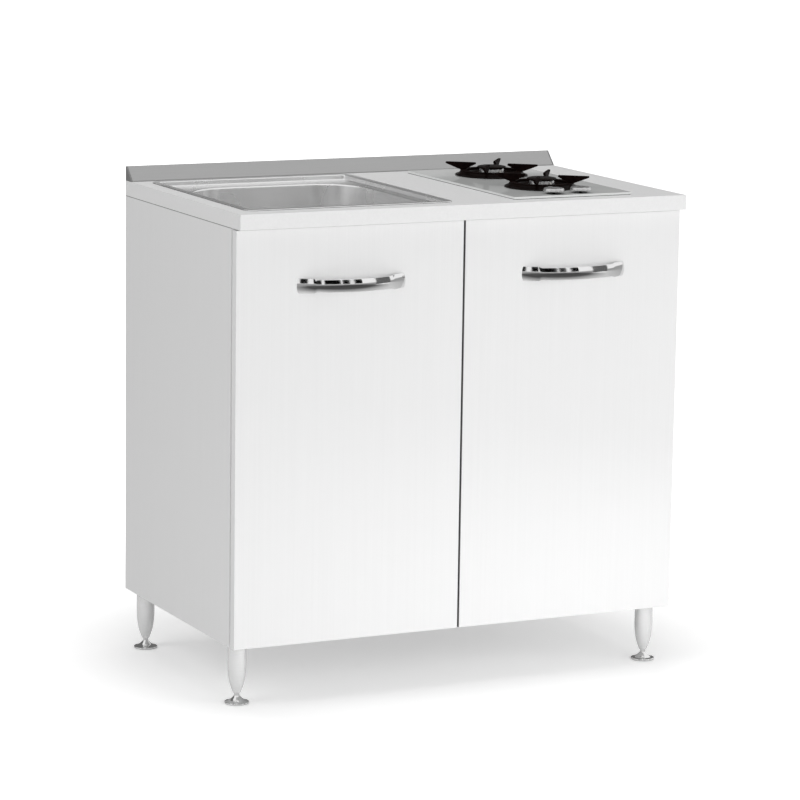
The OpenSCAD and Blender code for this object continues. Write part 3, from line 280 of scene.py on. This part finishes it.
def zinc_plated_steel():
    """Cool grey plating in soft patches."""
    finish = Finish("zinc_plated_steel", tinted(196, 199, 203), 0.32, 1.0)
    patches = finish.noise(160, 4)
    finish.colour(finish.mixed(patches, tinted(182, 186, 192), tinted(208, 210, 212)))
    finish.roughness(finish.ranged(finish.noise(420, 3), 0.24, 0.42))
    return finish.material


def anodised_aluminium():
    """Brushed along X, as the splashback profile is drawn."""
    finish = Finish("anodised_aluminium", grey(170), 0.4, 1.0)
    brushing = finish.noise(1500, 3, SIDEWAYS)
    finish.colour(finish.mixed(brushing, grey(167), grey(173)))
    finish.roughness(finish.ranged(brushing, 0.37, 0.44))
    return finish.material


def dark_plastic():
    """Charcoal for the leg sockets, mid grey for the caps on the splashback."""
    finish = Finish("dark_plastic", tinted(52, 49, 48), 0.55)
    charcoal = finish.mixed(finish.noise(300, 3), tinted(46, 44, 43), tinted(60, 57, 55))
    end_caps = finish.within("Z", WORKTOP_UNDERSIDE, ABOVE_ALL)
    finish.colour(finish.painted(end_caps, charcoal, grey(128)))
    finish.bump(finish.noise(1500, 2), 0.2, 0.0002)
    return finish.material


def stainless_steel():
    """Satin sheet, finely brushed from front to back."""
    finish = Finish("stainless_steel", grey(236), 0.28, 0.8)
    brushing = finish.noise(1100, 3, FRONT_TO_BACK)
    finish.colour(finish.mixed(brushing, grey(231), grey(240)))
    finish.roughness(finish.ranged(finish.noise(8, 2), 0.25, 0.31))
    return finish.material


def black_rubber():
    """Matt moulded rubber of the seals."""
    finish = Finish("black_rubber", grey(38), 0.7)
    finish.roughness(finish.ranged(finish.noise(200, 3), 0.6, 0.8))
    finish.bump(finish.noise(900, 2), 0.2, 0.0003)
    return finish.material


def white_plastic():
    """Smooth mouldings under the sink: nuts, trap and waste pipe."""
    finish = Finish("white_plastic", grey(234), 0.3, Coat_Weight=0.15)
    finish.roughness(finish.ranged(finish.noise(60, 3), 0.26, 0.38))
    finish.bump(finish.noise(350, 2), 0.04, 0.0003)
    return finish.material


def white_glass():
    """Toughened glass over white enamel: pale, glossy and very slightly cool."""
    finish = Finish("white_glass", tinted(232, 234, 233), 0.08, Specular_IOR_Level=0.3,
                    Coat_Weight=0.1, Coat_Roughness=0.03)
    finish.colour(finish.mixed(finish.noise(12, 2), tinted(228, 230, 229), tinted(233, 234, 233)))
    finish.roughness(finish.ranged(finish.noise(30, 3), 0.06, 0.11))
    return finish.material


def black_enamel():
    """Enamel of cups and caps: near black with a warm brown cast."""
    finish = Finish("black_enamel", tinted(12, 6, 5), 0.3, Specular_IOR_Level=0.05)
    finish.colour(finish.mixed(finish.noise(90, 4), tinted(8, 4, 3), tinted(18, 9, 7)))
    finish.roughness(finish.ranged(finish.noise(260, 3), 0.26, 0.36))
    return finish.material


def cast_iron():
    """Enamelled casting of the pan supports, rougher than the caps."""
    finish = Finish("cast_iron", tinted(13, 7, 6), 0.6, Specular_IOR_Level=0.03)
    finish.colour(finish.mixed(finish.noise(150, 5), tinted(8, 4, 4), tinted(22, 12, 10)))
    finish.roughness(finish.ranged(finish.noise(320, 4), 0.52, 0.68))
    finish.bump(finish.noise(1100, 4), 0.15, 0.0003)
    return finish.material


def burner_aluminium():
    """Cast burner crowns and drawn pipes, finely pitted."""
    finish = Finish("burner_aluminium", grey(205), 0.34, 1.0)
    finish.colour(finish.mixed(finish.noise(260, 4), grey(190), grey(214)))
    finish.roughness(finish.ranged(finish.noise(500, 3), 0.28, 0.44))
    finish.bump(finish.noise(1200, 3), 0.12, 0.0002)
    return finish.material


def silver_knob():
    """Fine turned silver with a satin lacquer."""
    finish = Finish("silver_knob", grey(200), 0.3, 0.8, Coat_Weight=0.1)
    finish.colour(finish.mixed(finish.noise(400, 3), grey(194), grey(206)))
    finish.roughness(finish.ranged(finish.noise(900, 2), 0.27, 0.33))
    return finish.material


def brass():
    """Yellow metal under the glass; the collars and stems above it are painted black as the shade
    under the knobs.
    """
    finish = Finish("brass", tinted(206, 170, 104), 0.32, 1.0)
    metal = finish.mixed(finish.noise(120, 3), tinted(190, 152, 88), tinted(216, 182, 118))
    # Painted shade: the collars and stems above the glass are painted black for the shade under
    # the knobs
    knob_shade = finish.within("Z", GLASS_TOP, ABOVE_ALL)
    finish.colour(finish.painted(knob_shade, metal, grey(14)))
    finish.roughness(finish.ranged(finish.noise(500, 3), 0.24, 0.44))
    return finish.material


def white_ceramic():
    """Glazed body of the spark plugs."""
    finish = Finish("white_ceramic", tinted(236, 233, 226), 0.25, Coat_Weight=0.3)
    finish.colour(finish.mixed(finish.noise(300, 3), tinted(228, 225, 216), tinted(240, 238, 232)))
    return finish.material


def bright_chrome():
    """Mirror chrome with the faint haze of handling."""
    finish = Finish("bright_chrome", grey(232), 0.06, 1.0)
    finish.roughness(finish.ranged(finish.noise(45, 4), 0.04, 0.12))
    return finish.material


def satin_leg_steel():
    """Spun steel: a satin skin with fine rings round the leg."""
    finish = Finish("satin_leg_steel", grey(242), 0.22, 0.5)
    rings = finish.noise(1800, 2, ROUND_LEG)
    finish.colour(finish.mixed(rings, grey(239), grey(245)))
    finish.roughness(finish.ranged(rings, 0.19, 0.25))
    return finish.material


FINISHES = {make.__name__: make() for make in (
    white_melamine, grey_laminate, white_hardboard, beech, zinc_plated_steel,
    anodised_aluminium, dark_plastic, stainless_steel, black_rubber, white_plastic,
    white_glass, black_enamel, cast_iron, burner_aluminium, silver_knob, brass,
    white_ceramic, bright_chrome, satin_leg_steel)}


def dress_every_node():
    """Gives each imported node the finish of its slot; the pieces below stand for some of them."""
    for name, node in NODES.items():
        node.data.materials.clear()
        node.data.materials.append(FINISHES[SLOT_OF[name]])


# ---------------------------------------------------------------- mesh helpers

# Corners closer than these are one: in a whole mesh, and at the poles of a spun one
MERGE = 1e-6
POLE_MERGE = 1e-7

# Faces that meet at less than FLAT are joined, and at more than CORNER their edge is eased;
# shading is smooth up to SHARP
FLAT = math.radians(0.5)
CORNER = math.radians(35)
SHARP = math.radians(32)


def finished_piece(name, bm, node, sharp=SHARP):
    """Turns a bmesh into a piece that rides with the node's body and stands for the node."""
    bmesh.ops.remove_doubles(bm, verts=bm.verts, dist=MERGE)
    bm.normal_update()
    for edge in bm.edges:
        edge.smooth = edge.calc_face_angle(math.pi) < sharp
    for face in bm.faces:
        face.smooth = True
    mesh = bpy.data.meshes.new(name)
    bm.to_mesh(mesh)
    bm.free()
    mesh.materials.append(FINISHES[SLOT_OF[node]])
    piece = bpy.data.objects.new(name, mesh)
    bpy.context.collection.objects.link(piece)
    even = piece.modifiers.new("even_shading", "WEIGHTED_NORMAL")
    even.keep_sharp = True
    even.weight = 100
    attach(piece, BODY_OF[node])
    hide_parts(node)


def eased(bm, width, segments, least):
    """Rounds every corner edge that is longer than the least length."""
    bm.normal_update()
    edges = [e for e in bm.edges if e.is_manifold and e.calc_face_angle(0.0) > CORNER
             and e.calc_length() > least]
    bmesh.ops.bevel(bm, geom=edges, offset=width, offset_type="OFFSET", segments=segments,
                    profile=0.5, affect="EDGES", material=-1, clamp_overlap=True)


def copy_of(node):
    """The node's solid as one clean bmesh: shared corners, flat faces joined."""
    bm = bmesh.new()
    bm.from_mesh(NODES[node].data)
    bmesh.ops.remove_doubles(bm, verts=bm.verts, dist=MERGE)
    bmesh.ops.dissolve_limit(bm, angle_limit=FLAT, verts=bm.verts, edges=bm.edges)
    return bm


def softened(node, width, segments=2, least=0.0):
    """The node's own shape with eased edges, standing for the node."""
    bm = copy_of(node)
    eased(bm, width, segments, least)
    finished_piece(node + "_eased", bm, node)


def smooth_curve(points, steps=6):
    """Points of a smooth curve through the given ones."""
    ends = [points[0]] + list(points) + [points[-1]]
    curve = []
    for p0, p1, p2, p3 in zip(ends, ends[1:], ends[2:], ends[3:]):
        for step in range(steps):
            t = step / steps
            curve.append(tuple(
                0.5 * (2 * b + (c - a) * t + (2 * a - 5 * b + 4 * c - d) * t * t
                       + (3 * b - a - 3 * c + d) * t ** 3)
                for a, b, c, d in zip(p0, p1, p2, p3)))
    curve.append(tuple(points[-1]))
    return curve


def add_spun(bm, profile, centre, steps=96):
    """Adds a closed solid of revolution: (radius, height) points of its profile, axis to axis."""
    verts = [bm.verts.new((r, 0.0, z)) for r, z in profile]
    edges = [bm.edges.new(pair) for pair in zip(verts, verts[1:])]
    before = set(bm.verts) - set(verts)
    bmesh.ops.spin(bm, geom=verts + edges, cent=(0, 0, 0), axis=(0, 0, 1),
                   angle=2 * math.pi, steps=steps, use_merge=True)
    made = [v for v in bm.verts if v not in before]
    bmesh.ops.remove_doubles(bm, verts=made, dist=POLE_MERGE)
    made = [v for v in bm.verts if v.is_valid and v not in before]
    faces = list({f for v in made for f in v.link_faces})
    bmesh.ops.recalc_face_normals(bm, faces=faces)
    bmesh.ops.translate(bm, verts=made, vec=centre)


# ---------------------------------------------------------------- studio

# World light on matt surfaces; the camera and reflections see it at 1
AMBIENT = 0.42

# The floor: its half side, its glow under the unit and how far the glow takes to reach 1
FLOOR_HALF = 60.0
FLOOR_WHITE = grey(240)
FLOOR_LIFT = 0.28
SHADOW_REACH = (0.5, 1.2)

# In reflections the floor is darker round a spot in front of the unit, out to the reach
FLOOR_IN_CHROME = grey(88)
DIM_SPOT = (0.3, -5.3, 0.0)
DIM_REACH = (3.2, 4.6)

# Reflected cards: name, grey level, distance, lowest and highest point, and their spans in
# degrees from straight ahead of the doors towards the right
CARDS = (
    ("dark_cards", 8, 6.0, 0.8, 2.9,
     ((-68, -46), (-40, -32), (-26, -18), (-15, 2), (4, 12), (17, 26))),
    ("grey_cards", 105, 6.0, 0.0, 2.9, ((43, 63),)),
    ("back_card", 112, 2.6, 0.0, 5.0, ((128, 235),)),
)

# Lamps: name, place, the point they face, width and height, power in watts
LAMPS = (
    ("key_right_front", (3.9, -4.0, 1.3), (0.1, 0.0, 0.45), (2.6, 2.2), 58),
    ("fill_front", (-2.2, -5.2, 1.0), (-0.1, -0.2, 0.4), (2.4, 1.6), 40),
    ("sink_front", (1.66, -4.6, 1.7), (-0.21, 0.0, 0.85), (1.0, 0.7), 9),
    ("fill_left", (-3.2, -0.5, 3.0), (-0.45, 0.0, 0.6), (1.8, 1.8), 25),
    ("top", (0.0, 0.2, 3.6), (0.0, 0.0, 0.9), (2.6, 2.6), 22),
    ("floor_front", (0.7, -1.75, 0.8), (0.5, -1.15, 0.0), (2.4, 0.8), 4),
    ("floor_strip", (-0.3, -1.05, 0.3), (-0.35, -0.95, 0.0), (2.0, 0.3), 1.7),
)


def add_lamp(name, at, target, size, power):
    """A soft lamp that isn't seen itself, nor in the bright metal."""
    data = bpy.data.lights.new(name, "AREA")
    data.shape = "RECTANGLE"
    data.size, data.size_y = size
    data.energy = power
    lamp = bpy.data.objects.new(name, data)
    bpy.context.collection.objects.link(lamp)
    lamp.location = at
    lamp.rotation_euler = (Vector(target) - Vector(at)).to_track_quat("-Z", "Y").to_euler()
    lamp.visible_camera = False
    lamp.visible_glossy = False


def add_world():
    """White to the camera and to reflections, a plainer level to diffuse light."""
    world = bpy.data.worlds.new("studio")
    bpy.context.scene.world = world
    world.use_nodes = True
    tree = world.node_tree
    background = tree.nodes["Background"]
    background.inputs["Color"].default_value = (1, 1, 1, 1)
    path = tree.nodes.new("ShaderNodeLightPath")
    seen = path.outputs["Is Camera Ray"]
    for ray in ("Is Glossy Ray", "Is Transmission Ray"):
        either = tree.nodes.new("ShaderNodeMath")
        either.operation = "MAXIMUM"
        tree.links.new(seen, either.inputs[0])
        tree.links.new(path.outputs[ray], either.inputs[1])
        seen = either.outputs[0]
    level = tree.nodes.new("ShaderNodeMapRange")
    level.inputs["To Min"].default_value = AMBIENT
    level.inputs["To Max"].default_value = 1.0
    tree.links.new(seen, level.inputs["Value"])
    tree.links.new(level.outputs["Result"], background.inputs["Strength"])


def staged(name, bm, material):
    """Turns a bmesh into a part of the studio."""
    mesh = bpy.data.meshes.new(name)
    bm.to_mesh(mesh)
    bm.free()
    mesh.materials.append(material)
    made = bpy.data.objects.new(name, mesh)
    bpy.context.collection.objects.link(made)
    return made


def floor_white():
    """Pale paper that glows for the camera, little under the unit and fully farther off."""
    finish = Finish("floor_white", FLOOR_WHITE, 0.9, Specular_IOR_Level=0.0,
                    Emission_Color=(1, 1, 1, 1))
    path = finish.node("ShaderNodeLightPath")
    near_spot = finish.ranged(finish.distance(DIM_SPOT), 1.0, 0.0, *DIM_REACH)
    dim = finish.both(near_spot, path.outputs["Is Glossy Ray"])
    finish.colour(finish.mixed(dim, FLOOR_WHITE, FLOOR_IN_CHROME, 0.0, 1.0))
    lift = finish.ranged(finish.distance((0, 0, 0)), FLOOR_LIFT, 1.0, *SHADOW_REACH)
    glow = finish.both(path.outputs["Is Camera Ray"], lift)
    finish.link(glow, finish.shader.inputs["Emission Strength"])
    return finish.material


def add_floor():
    """A floor that keeps the unit's shadow and reads white farther off."""
    bm = bmesh.new()
    bmesh.ops.create_grid(bm, x_segments=1, y_segments=1, size=FLOOR_HALF)
    staged("floor", bm, floor_white())


def add_cards(name, level, distance, low, high, spans):
    """Unlit upright cards round the unit, seen in reflections alone."""
    bm = bmesh.new()
    upright = Matrix.Rotation(math.pi / 2, 4, "X")
    for start, stop in spans:
        half = math.radians(stop - start) / 2
        turn = Matrix.Rotation(math.radians(start + stop) / 2, 4, "Z")
        place = turn @ Matrix.Translation((0, -distance, (low + high) / 2))
        stretch = Matrix.Diagonal((distance * math.tan(half), (high - low) / 2, 1, 1))
        bmesh.ops.create_grid(bm, x_segments=1, y_segments=1, size=1.0,
                              matrix=place @ upright @ stretch)
    paper = Finish(name + "_paper", (0, 0, 0), 1.0, Specular_IOR_Level=0.0,
                   Emission_Color=(*grey(level), 1.0), Emission_Strength=1.0)
    cards = staged(name, bm, paper.material)
    for ray in ("camera", "diffuse", "transmission", "shadow"):
        setattr(cards, "visible_" + ray, False)


def add_studio():
    add_world()
    add_floor()
    for cards in CARDS:
        add_cards(*cards)
    for lamp in LAMPS:
        add_lamp(*lamp)
    bpy.context.scene.view_settings.view_transform = "Standard"


# ---------------------------------------------------------------- boards and hob

# Edges shorter than this, such as those round the bores, stay sharp
BORE_EDGE = 12 * MM


def dress_boards():
    """Edging of the boards, a rounder one on the worktop, and the profile behind it."""
    for node in ("left_side_panel", "right_side_panel", "bottom_panel", "left_door",
                 "right_door"):
        softened(node, 0.8 * MM, least=BORE_EDGE)
    softened("worktop", 1.2 * MM, 3, least=BORE_EDGE)
    softened("splashback", 0.4 * MM, least=1 * MM)
    softened("splashback_end_caps", 0.5 * MM)


def dress_hob():
    """Ground edge of the glass, and the eased edges of castings, pressings and knobs."""
    softened("hob_glass", 0.7 * MM, 3)
    for place in ("rear", "front"):
        softened(place + "_pan_support", 0.5 * MM)
        for part in ("_burner_cup", "_burner_crown", "_burner_cap"):
            softened(place + part, 0.25 * MM)
    for side in ("left", "right"):
        softened(side + "_knob", 0.3 * MM)


# ---------------------------------------------------------------- sink

def round_rectangle(bm, low, high, corner, z, segments=14):
    """Flat face: a rectangle whose corners are rounded by a vertex bevel."""
    corners = [bm.verts.new(at) for at in (
        (low[0], low[1], z), (high[0], low[1], z), (high[0], high[1], z), (low[0], high[1], z))]
    bm.faces.new(corners)
    made = bmesh.ops.bevel(bm, geom=corners, offset=corner, offset_type="OFFSET",
                           segments=segments, profile=0.5, affect="VERTICES", material=-1)
    return max(made["verts"][0].link_faces, key=lambda face: len(face.verts))


def step_in(bm, face, steps):
    """Insets the face again and again: steps are (inset, height) points, the first is here."""
    bm.normal_update()
    for (inset, z), (next_inset, next_z) in zip(steps, steps[1:]):
        bmesh.ops.inset_individual(bm, faces=[face], thickness=next_inset - inset,
                                   depth=next_z - z, use_even_offset=True)


def join_faces(bm, outer, inner):
    """Replaces both faces by a strip between their edges, and keeps a copy of the inner one."""
    edges = list(outer.edges) + list(inner.edges)
    rim = list(inner.verts)
    bmesh.ops.delete(bm, geom=[outer, inner], context="FACES_ONLY")
    bmesh.ops.bridge_loops(bm, edges=edges)
    return bm.faces.new(rim)


def bend(x, z, radius, start, stop, steps):
    """(inset, height) points round a bend about x, z, with the angles in degrees."""
    return [(x + radius * math.cos(math.radians(start + (stop - start) * i / steps)),
             z + radius * math.sin(math.radians(start + (stop - start) * i / steps)))
            for i in range(steps + 1)]


SINK_STEEL = 0.8 * MM
RIM_CORNER = 20 * MM
RIM_ROLL = 1.2 * MM
RIM_FLAT = 10.5 * MM
RIM_BEND = 2.0 * MM
LEDGE_DROP = 10 * MM
LEDGE_FOOT = 15.5 * MM
LEDGE_BEND = 2.4 * MM

# The bowl inside the rim's box: its distance from the left and front, right, and back
BOWL_MARGIN = 30 * MM
BOWL_RIGHT = 20 * MM
BOWL_BACK = 52 * MM
BOWL_CORNER = 95 * MM
BOWL_DEPTH = 150 * MM
BOWL_LIP = 3.5 * MM
BOWL_FOOT = 35 * MM
BOWL_BEND = 26 * MM
BOWL_BEND_RISE = 30 * MM

# The dish round the drain: its radius, and (inset, height over the bottom) down to the hole
DISH_RADIUS = 78 * MM
DISH = ((0.0, 2.6 * MM), (18 * MM, 1.0 * MM), (28 * MM, -1.4 * MM), (31.5 * MM, -2.6 * MM),
        (33.5 * MM, -3.8 * MM), (41.9 * MM, -4.0 * MM))


def rim_profile(top, ledge):
    """(inset, height) points over the rolled rim and down its step to the ledge."""
    profile = bend(RIM_ROLL, top - RIM_ROLL, RIM_ROLL, 180, 90, 3)
    profile += bend(RIM_FLAT, top - RIM_BEND, RIM_BEND, 90, 5, 4)
    profile += bend(LEDGE_FOOT, ledge + LEDGE_BEND, LEDGE_BEND, 185, 270, 4)
    return profile


def bowl_profile(ledge, bottom):
    """(inset, height) points over the bowl's lip, down its wall and into its bottom."""
    profile = bend(0.0, ledge - BOWL_LIP, BOWL_LIP, 90, 3, 5)
    profile += bend(BOWL_FOOT, bottom + BOWL_BEND_RISE, BOWL_BEND, 183, 262, 9)
    return profile


def dress_sink():
    """Pressed sink: rolled rim, a step down to the ledge, a soft bowl and a dished bottom."""
    low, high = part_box("sink_bowl")
    top = high.z
    ledge = top - LEDGE_DROP
    bottom = ledge - BOWL_DEPTH
    bowl_low = (low.x + BOWL_MARGIN, low.y + BOWL_MARGIN)
    bowl_high = (high.x - BOWL_RIGHT, high.y - BOWL_BACK)
    drain = ((bowl_low[0] + bowl_high[0]) / 2, (bowl_low[1] + bowl_high[1]) / 2)
    bm = bmesh.new()

    rim = rim_profile(top, ledge)
    sheet = round_rectangle(bm, low, high, RIM_CORNER, rim[0][1])
    step_in(bm, sheet, rim)

    bowl = round_rectangle(bm, bowl_low, bowl_high, BOWL_CORNER, ledge)
    bowl = join_faces(bm, sheet, bowl)
    step_in(bm, bowl, bowl_profile(ledge, bottom))

    disc = bmesh.ops.create_circle(
        bm, cap_ends=True, segments=len(bowl.verts), radius=DISH_RADIUS,
        matrix=Matrix.Translation((drain[0], drain[1], bottom + DISH[0][1])))
    dish = join_faces(bm, bowl, disc["verts"][0].link_faces[0])
    step_in(bm, dish, DISH)
    bmesh.ops.delete(bm, geom=[dish], context="FACES_ONLY")

    bmesh.ops.recalc_face_normals(bm, faces=bm.faces)
    if max(bm.faces, key=lambda f: f.calc_area()).normal.z < 0:
        bmesh.ops.reverse_faces(bm, faces=bm.faces)
    bmesh.ops.solidify(bm, geom=bm.faces[:], thickness=SINK_STEEL)
    finished_piece("pressed_sink", bm, "sink_bowl", sharp=math.radians(50))


# ---------------------------------------------------------------- handles

# The strip's thickness and the radius of its crowned front
HANDLE_DEPTH = 6.0 * MM
HANDLE_CROWN = 60 * MM

# The wide ends: their length, how far they stand out above and below, the hollow that leads there
HANDLE_END = 35 * MM
HANDLE_FLARE = 2 * MM
HANDLE_HOLLOW = 12 * MM

# The sweep goes on by this angle past the door, where it is cut off
HANDLE_SPARE = 0.03
HANDLE_STEPS = 144


def handle_section(half):
    """(outward, upward) points of the strip where it is widest: flat back, crowned front."""
    crown = []
    for share in range(-5, 6):
        up = share / 5 * (half - 1.1 * MM)
        crown.append((HANDLE_DEPTH - up * up / (2 * HANDLE_CROWN), up))
    shoulder = crown[0][0]
    under = [(0.0, -half + 1.0 * MM), (0.3 * MM, -half + 0.3 * MM), (1.0 * MM, -half),
             (shoulder - 0.9 * MM, -half), (shoulder - 0.2 * MM, -half + 0.4 * MM)]
    return under + crown + [(out, -up) for out, up in reversed(under)]


def swept_strip(section, radius, arc):
    """The section swept round the arc to both sides of the middle, centred on the arc's centre."""
    bm = bmesh.new()
    verts = [bm.verts.new((0.0, -(radius - HANDLE_DEPTH + u), v)) for u, v in section]
    edges = [bm.edges.new(pair) for pair in zip(verts, verts[1:] + verts[:1])]
    bmesh.ops.rotate(bm, verts=verts, cent=(0, 0, 0), matrix=Matrix.Rotation(-arc, 3, "Z"))
    bmesh.ops.spin(bm, geom=verts + edges, cent=(0, 0, 0), axis=(0, 0, 1), angle=2 * arc,
                   steps=HANDLE_STEPS)
    return bm


def narrow_middle(bm, half, waist):
    """Squeezes the strip between its wide ends, through round hollows."""
    for vert in bm.verts:
        past = min(max(abs(vert.co.x) - waist, 0.0), HANDLE_HOLLOW)
        rise = HANDLE_HOLLOW - math.sqrt(HANDLE_HOLLOW ** 2 - past ** 2)
        vert.co.z *= 1 - (HANDLE_FLARE - min(rise, HANDLE_FLARE)) / half


def cut_at_door(bm, door_y):
    """Cuts the strip off flush with the door and closes its two ends."""
    cut = bmesh.ops.bisect_plane(bm, geom=bm.verts[:] + bm.edges[:] + bm.faces[:],
                                 plane_co=(0, door_y, 0), plane_no=(0, 1, 0), clear_outer=True)
    ends = [e for e in cut["geom_cut"] if isinstance(e, bmesh.types.BMEdge)]
    bmesh.ops.edgenet_fill(bm, edges=ends)
    bmesh.ops.recalc_face_normals(bm, faces=bm.faces)


def dress_handles():
    """Bow handles: a crowned strip swept along an arc, wider at its ends, cut at the door."""
    for side in ("left", "right"):
        low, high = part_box(side + "_handle")
        middle = (low + high) / 2
        chord = high.x - low.x
        out = high.y - low.y
        half = (high.z - low.z) / 2
        radius = (chord * chord / 4 + out * out) / (2 * out)
        arc = math.asin(chord / 2 / radius) + HANDLE_SPARE
        bm = swept_strip(handle_section(half), radius, arc)
        narrow_middle(bm, half, chord / 2 - HANDLE_END)
        bmesh.ops.translate(bm, verts=bm.verts, vec=(middle.x, low.y + radius, middle.z))
        cut_at_door(bm, high.y)
        finished_piece(side + "_bow_handle", bm, side + "_handle", sharp=math.radians(40))


# ---------------------------------------------------------------- legs and feet

FEET = ("front_left_foot", "front_right_foot", "rear_left_foot", "rear_right_foot")
LEG_RADIUS = 17 * MM

# A leg's tip as a share of its radius, and how it swells from there upwards, as shares of its
# radius and of its height
LEG_TIP = 0.41
LEG_SWELL = ((0.45, 0.02), (0.60, 0.095), (0.72, 0.16), (0.81, 0.225), (0.89, 0.31),
             (0.95, 0.40), (0.985, 0.48), (1.0, 0.56), (1.0, 0.72))

FOOT_STEM = 5 * MM

# The foot's rounded edge: (distance in from the widest point, height)
FOOT_EDGE = ((0.8 * MM, 0.0), (0.2 * MM, 0.3 * MM), (0.0, 1.0 * MM), (0.0, 2.6 * MM),
             (0.3 * MM, 3.4 * MM), (1.2 * MM, 4.0 * MM))


def leg_profile(low, high):
    """(radius, height) points of a spun leg from its tip to its flat head."""
    tall = high - low
    profile = [(0.0, low), (LEG_TIP * LEG_RADIUS, low)]
    profile += [(r * LEG_RADIUS, low + h * tall) for r, h in smooth_curve(LEG_SWELL)]
    profile += [(LEG_RADIUS, high - 0.8 * MM), (LEG_RADIUS - 0.25 * MM, high - 0.25 * MM),
                (LEG_RADIUS - 0.8 * MM, high), (0.0, high)]
    return profile


def dress_legs():
    """Four spun legs, each over its foot."""
    low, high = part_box("legs")
    bm = bmesh.new()
    for foot in FEET:
        foot_low, foot_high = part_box(foot)
        centre = (foot_low + foot_high) / 2
        add_spun(bm, leg_profile(low.z, high.z), (centre.x, centre.y, 0))
    finished_piece("spun_legs", bm, "legs")


def foot_profile(r, top):
    """(radius, height) points of a flared foot that sweeps up into its stem."""
    edge = [(r - back, up) for back, up in FOOT_EDGE]
    sweep = smooth_curve([edge[-1], (r * 0.72, 5.4 * MM), (r * 0.52, 7.8 * MM),
                          (r * 0.38, 10.6 * MM), (FOOT_STEM + 1.1 * MM, 13.0 * MM),
                          (FOOT_STEM, 14.6 * MM)])
    profile = [(0.0, 0.0)] + edge + sweep[1:]
    profile += [(FOOT_STEM, top - 1 * MM), (FOOT_STEM - 1 * MM, top), (0.0, top)]
    return profile


def dress_feet():
    """Four flared feet, each on its own body."""
    for node in FEET:
        low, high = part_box(node)
        centre = (low + high) / 2
        bm = bmesh.new()
        add_spun(bm, foot_profile((high.x - low.x) / 2, high.z), (centre.x, centre.y, 0))
        finished_piece(node + "_flared", bm, node)


# ---------------------------------------------------------------- the dressed unit

add_camera()
dress_every_node()
dress_boards()
dress_hob()
dress_sink()
dress_handles()
dress_legs()
dress_feet()
add_studio()
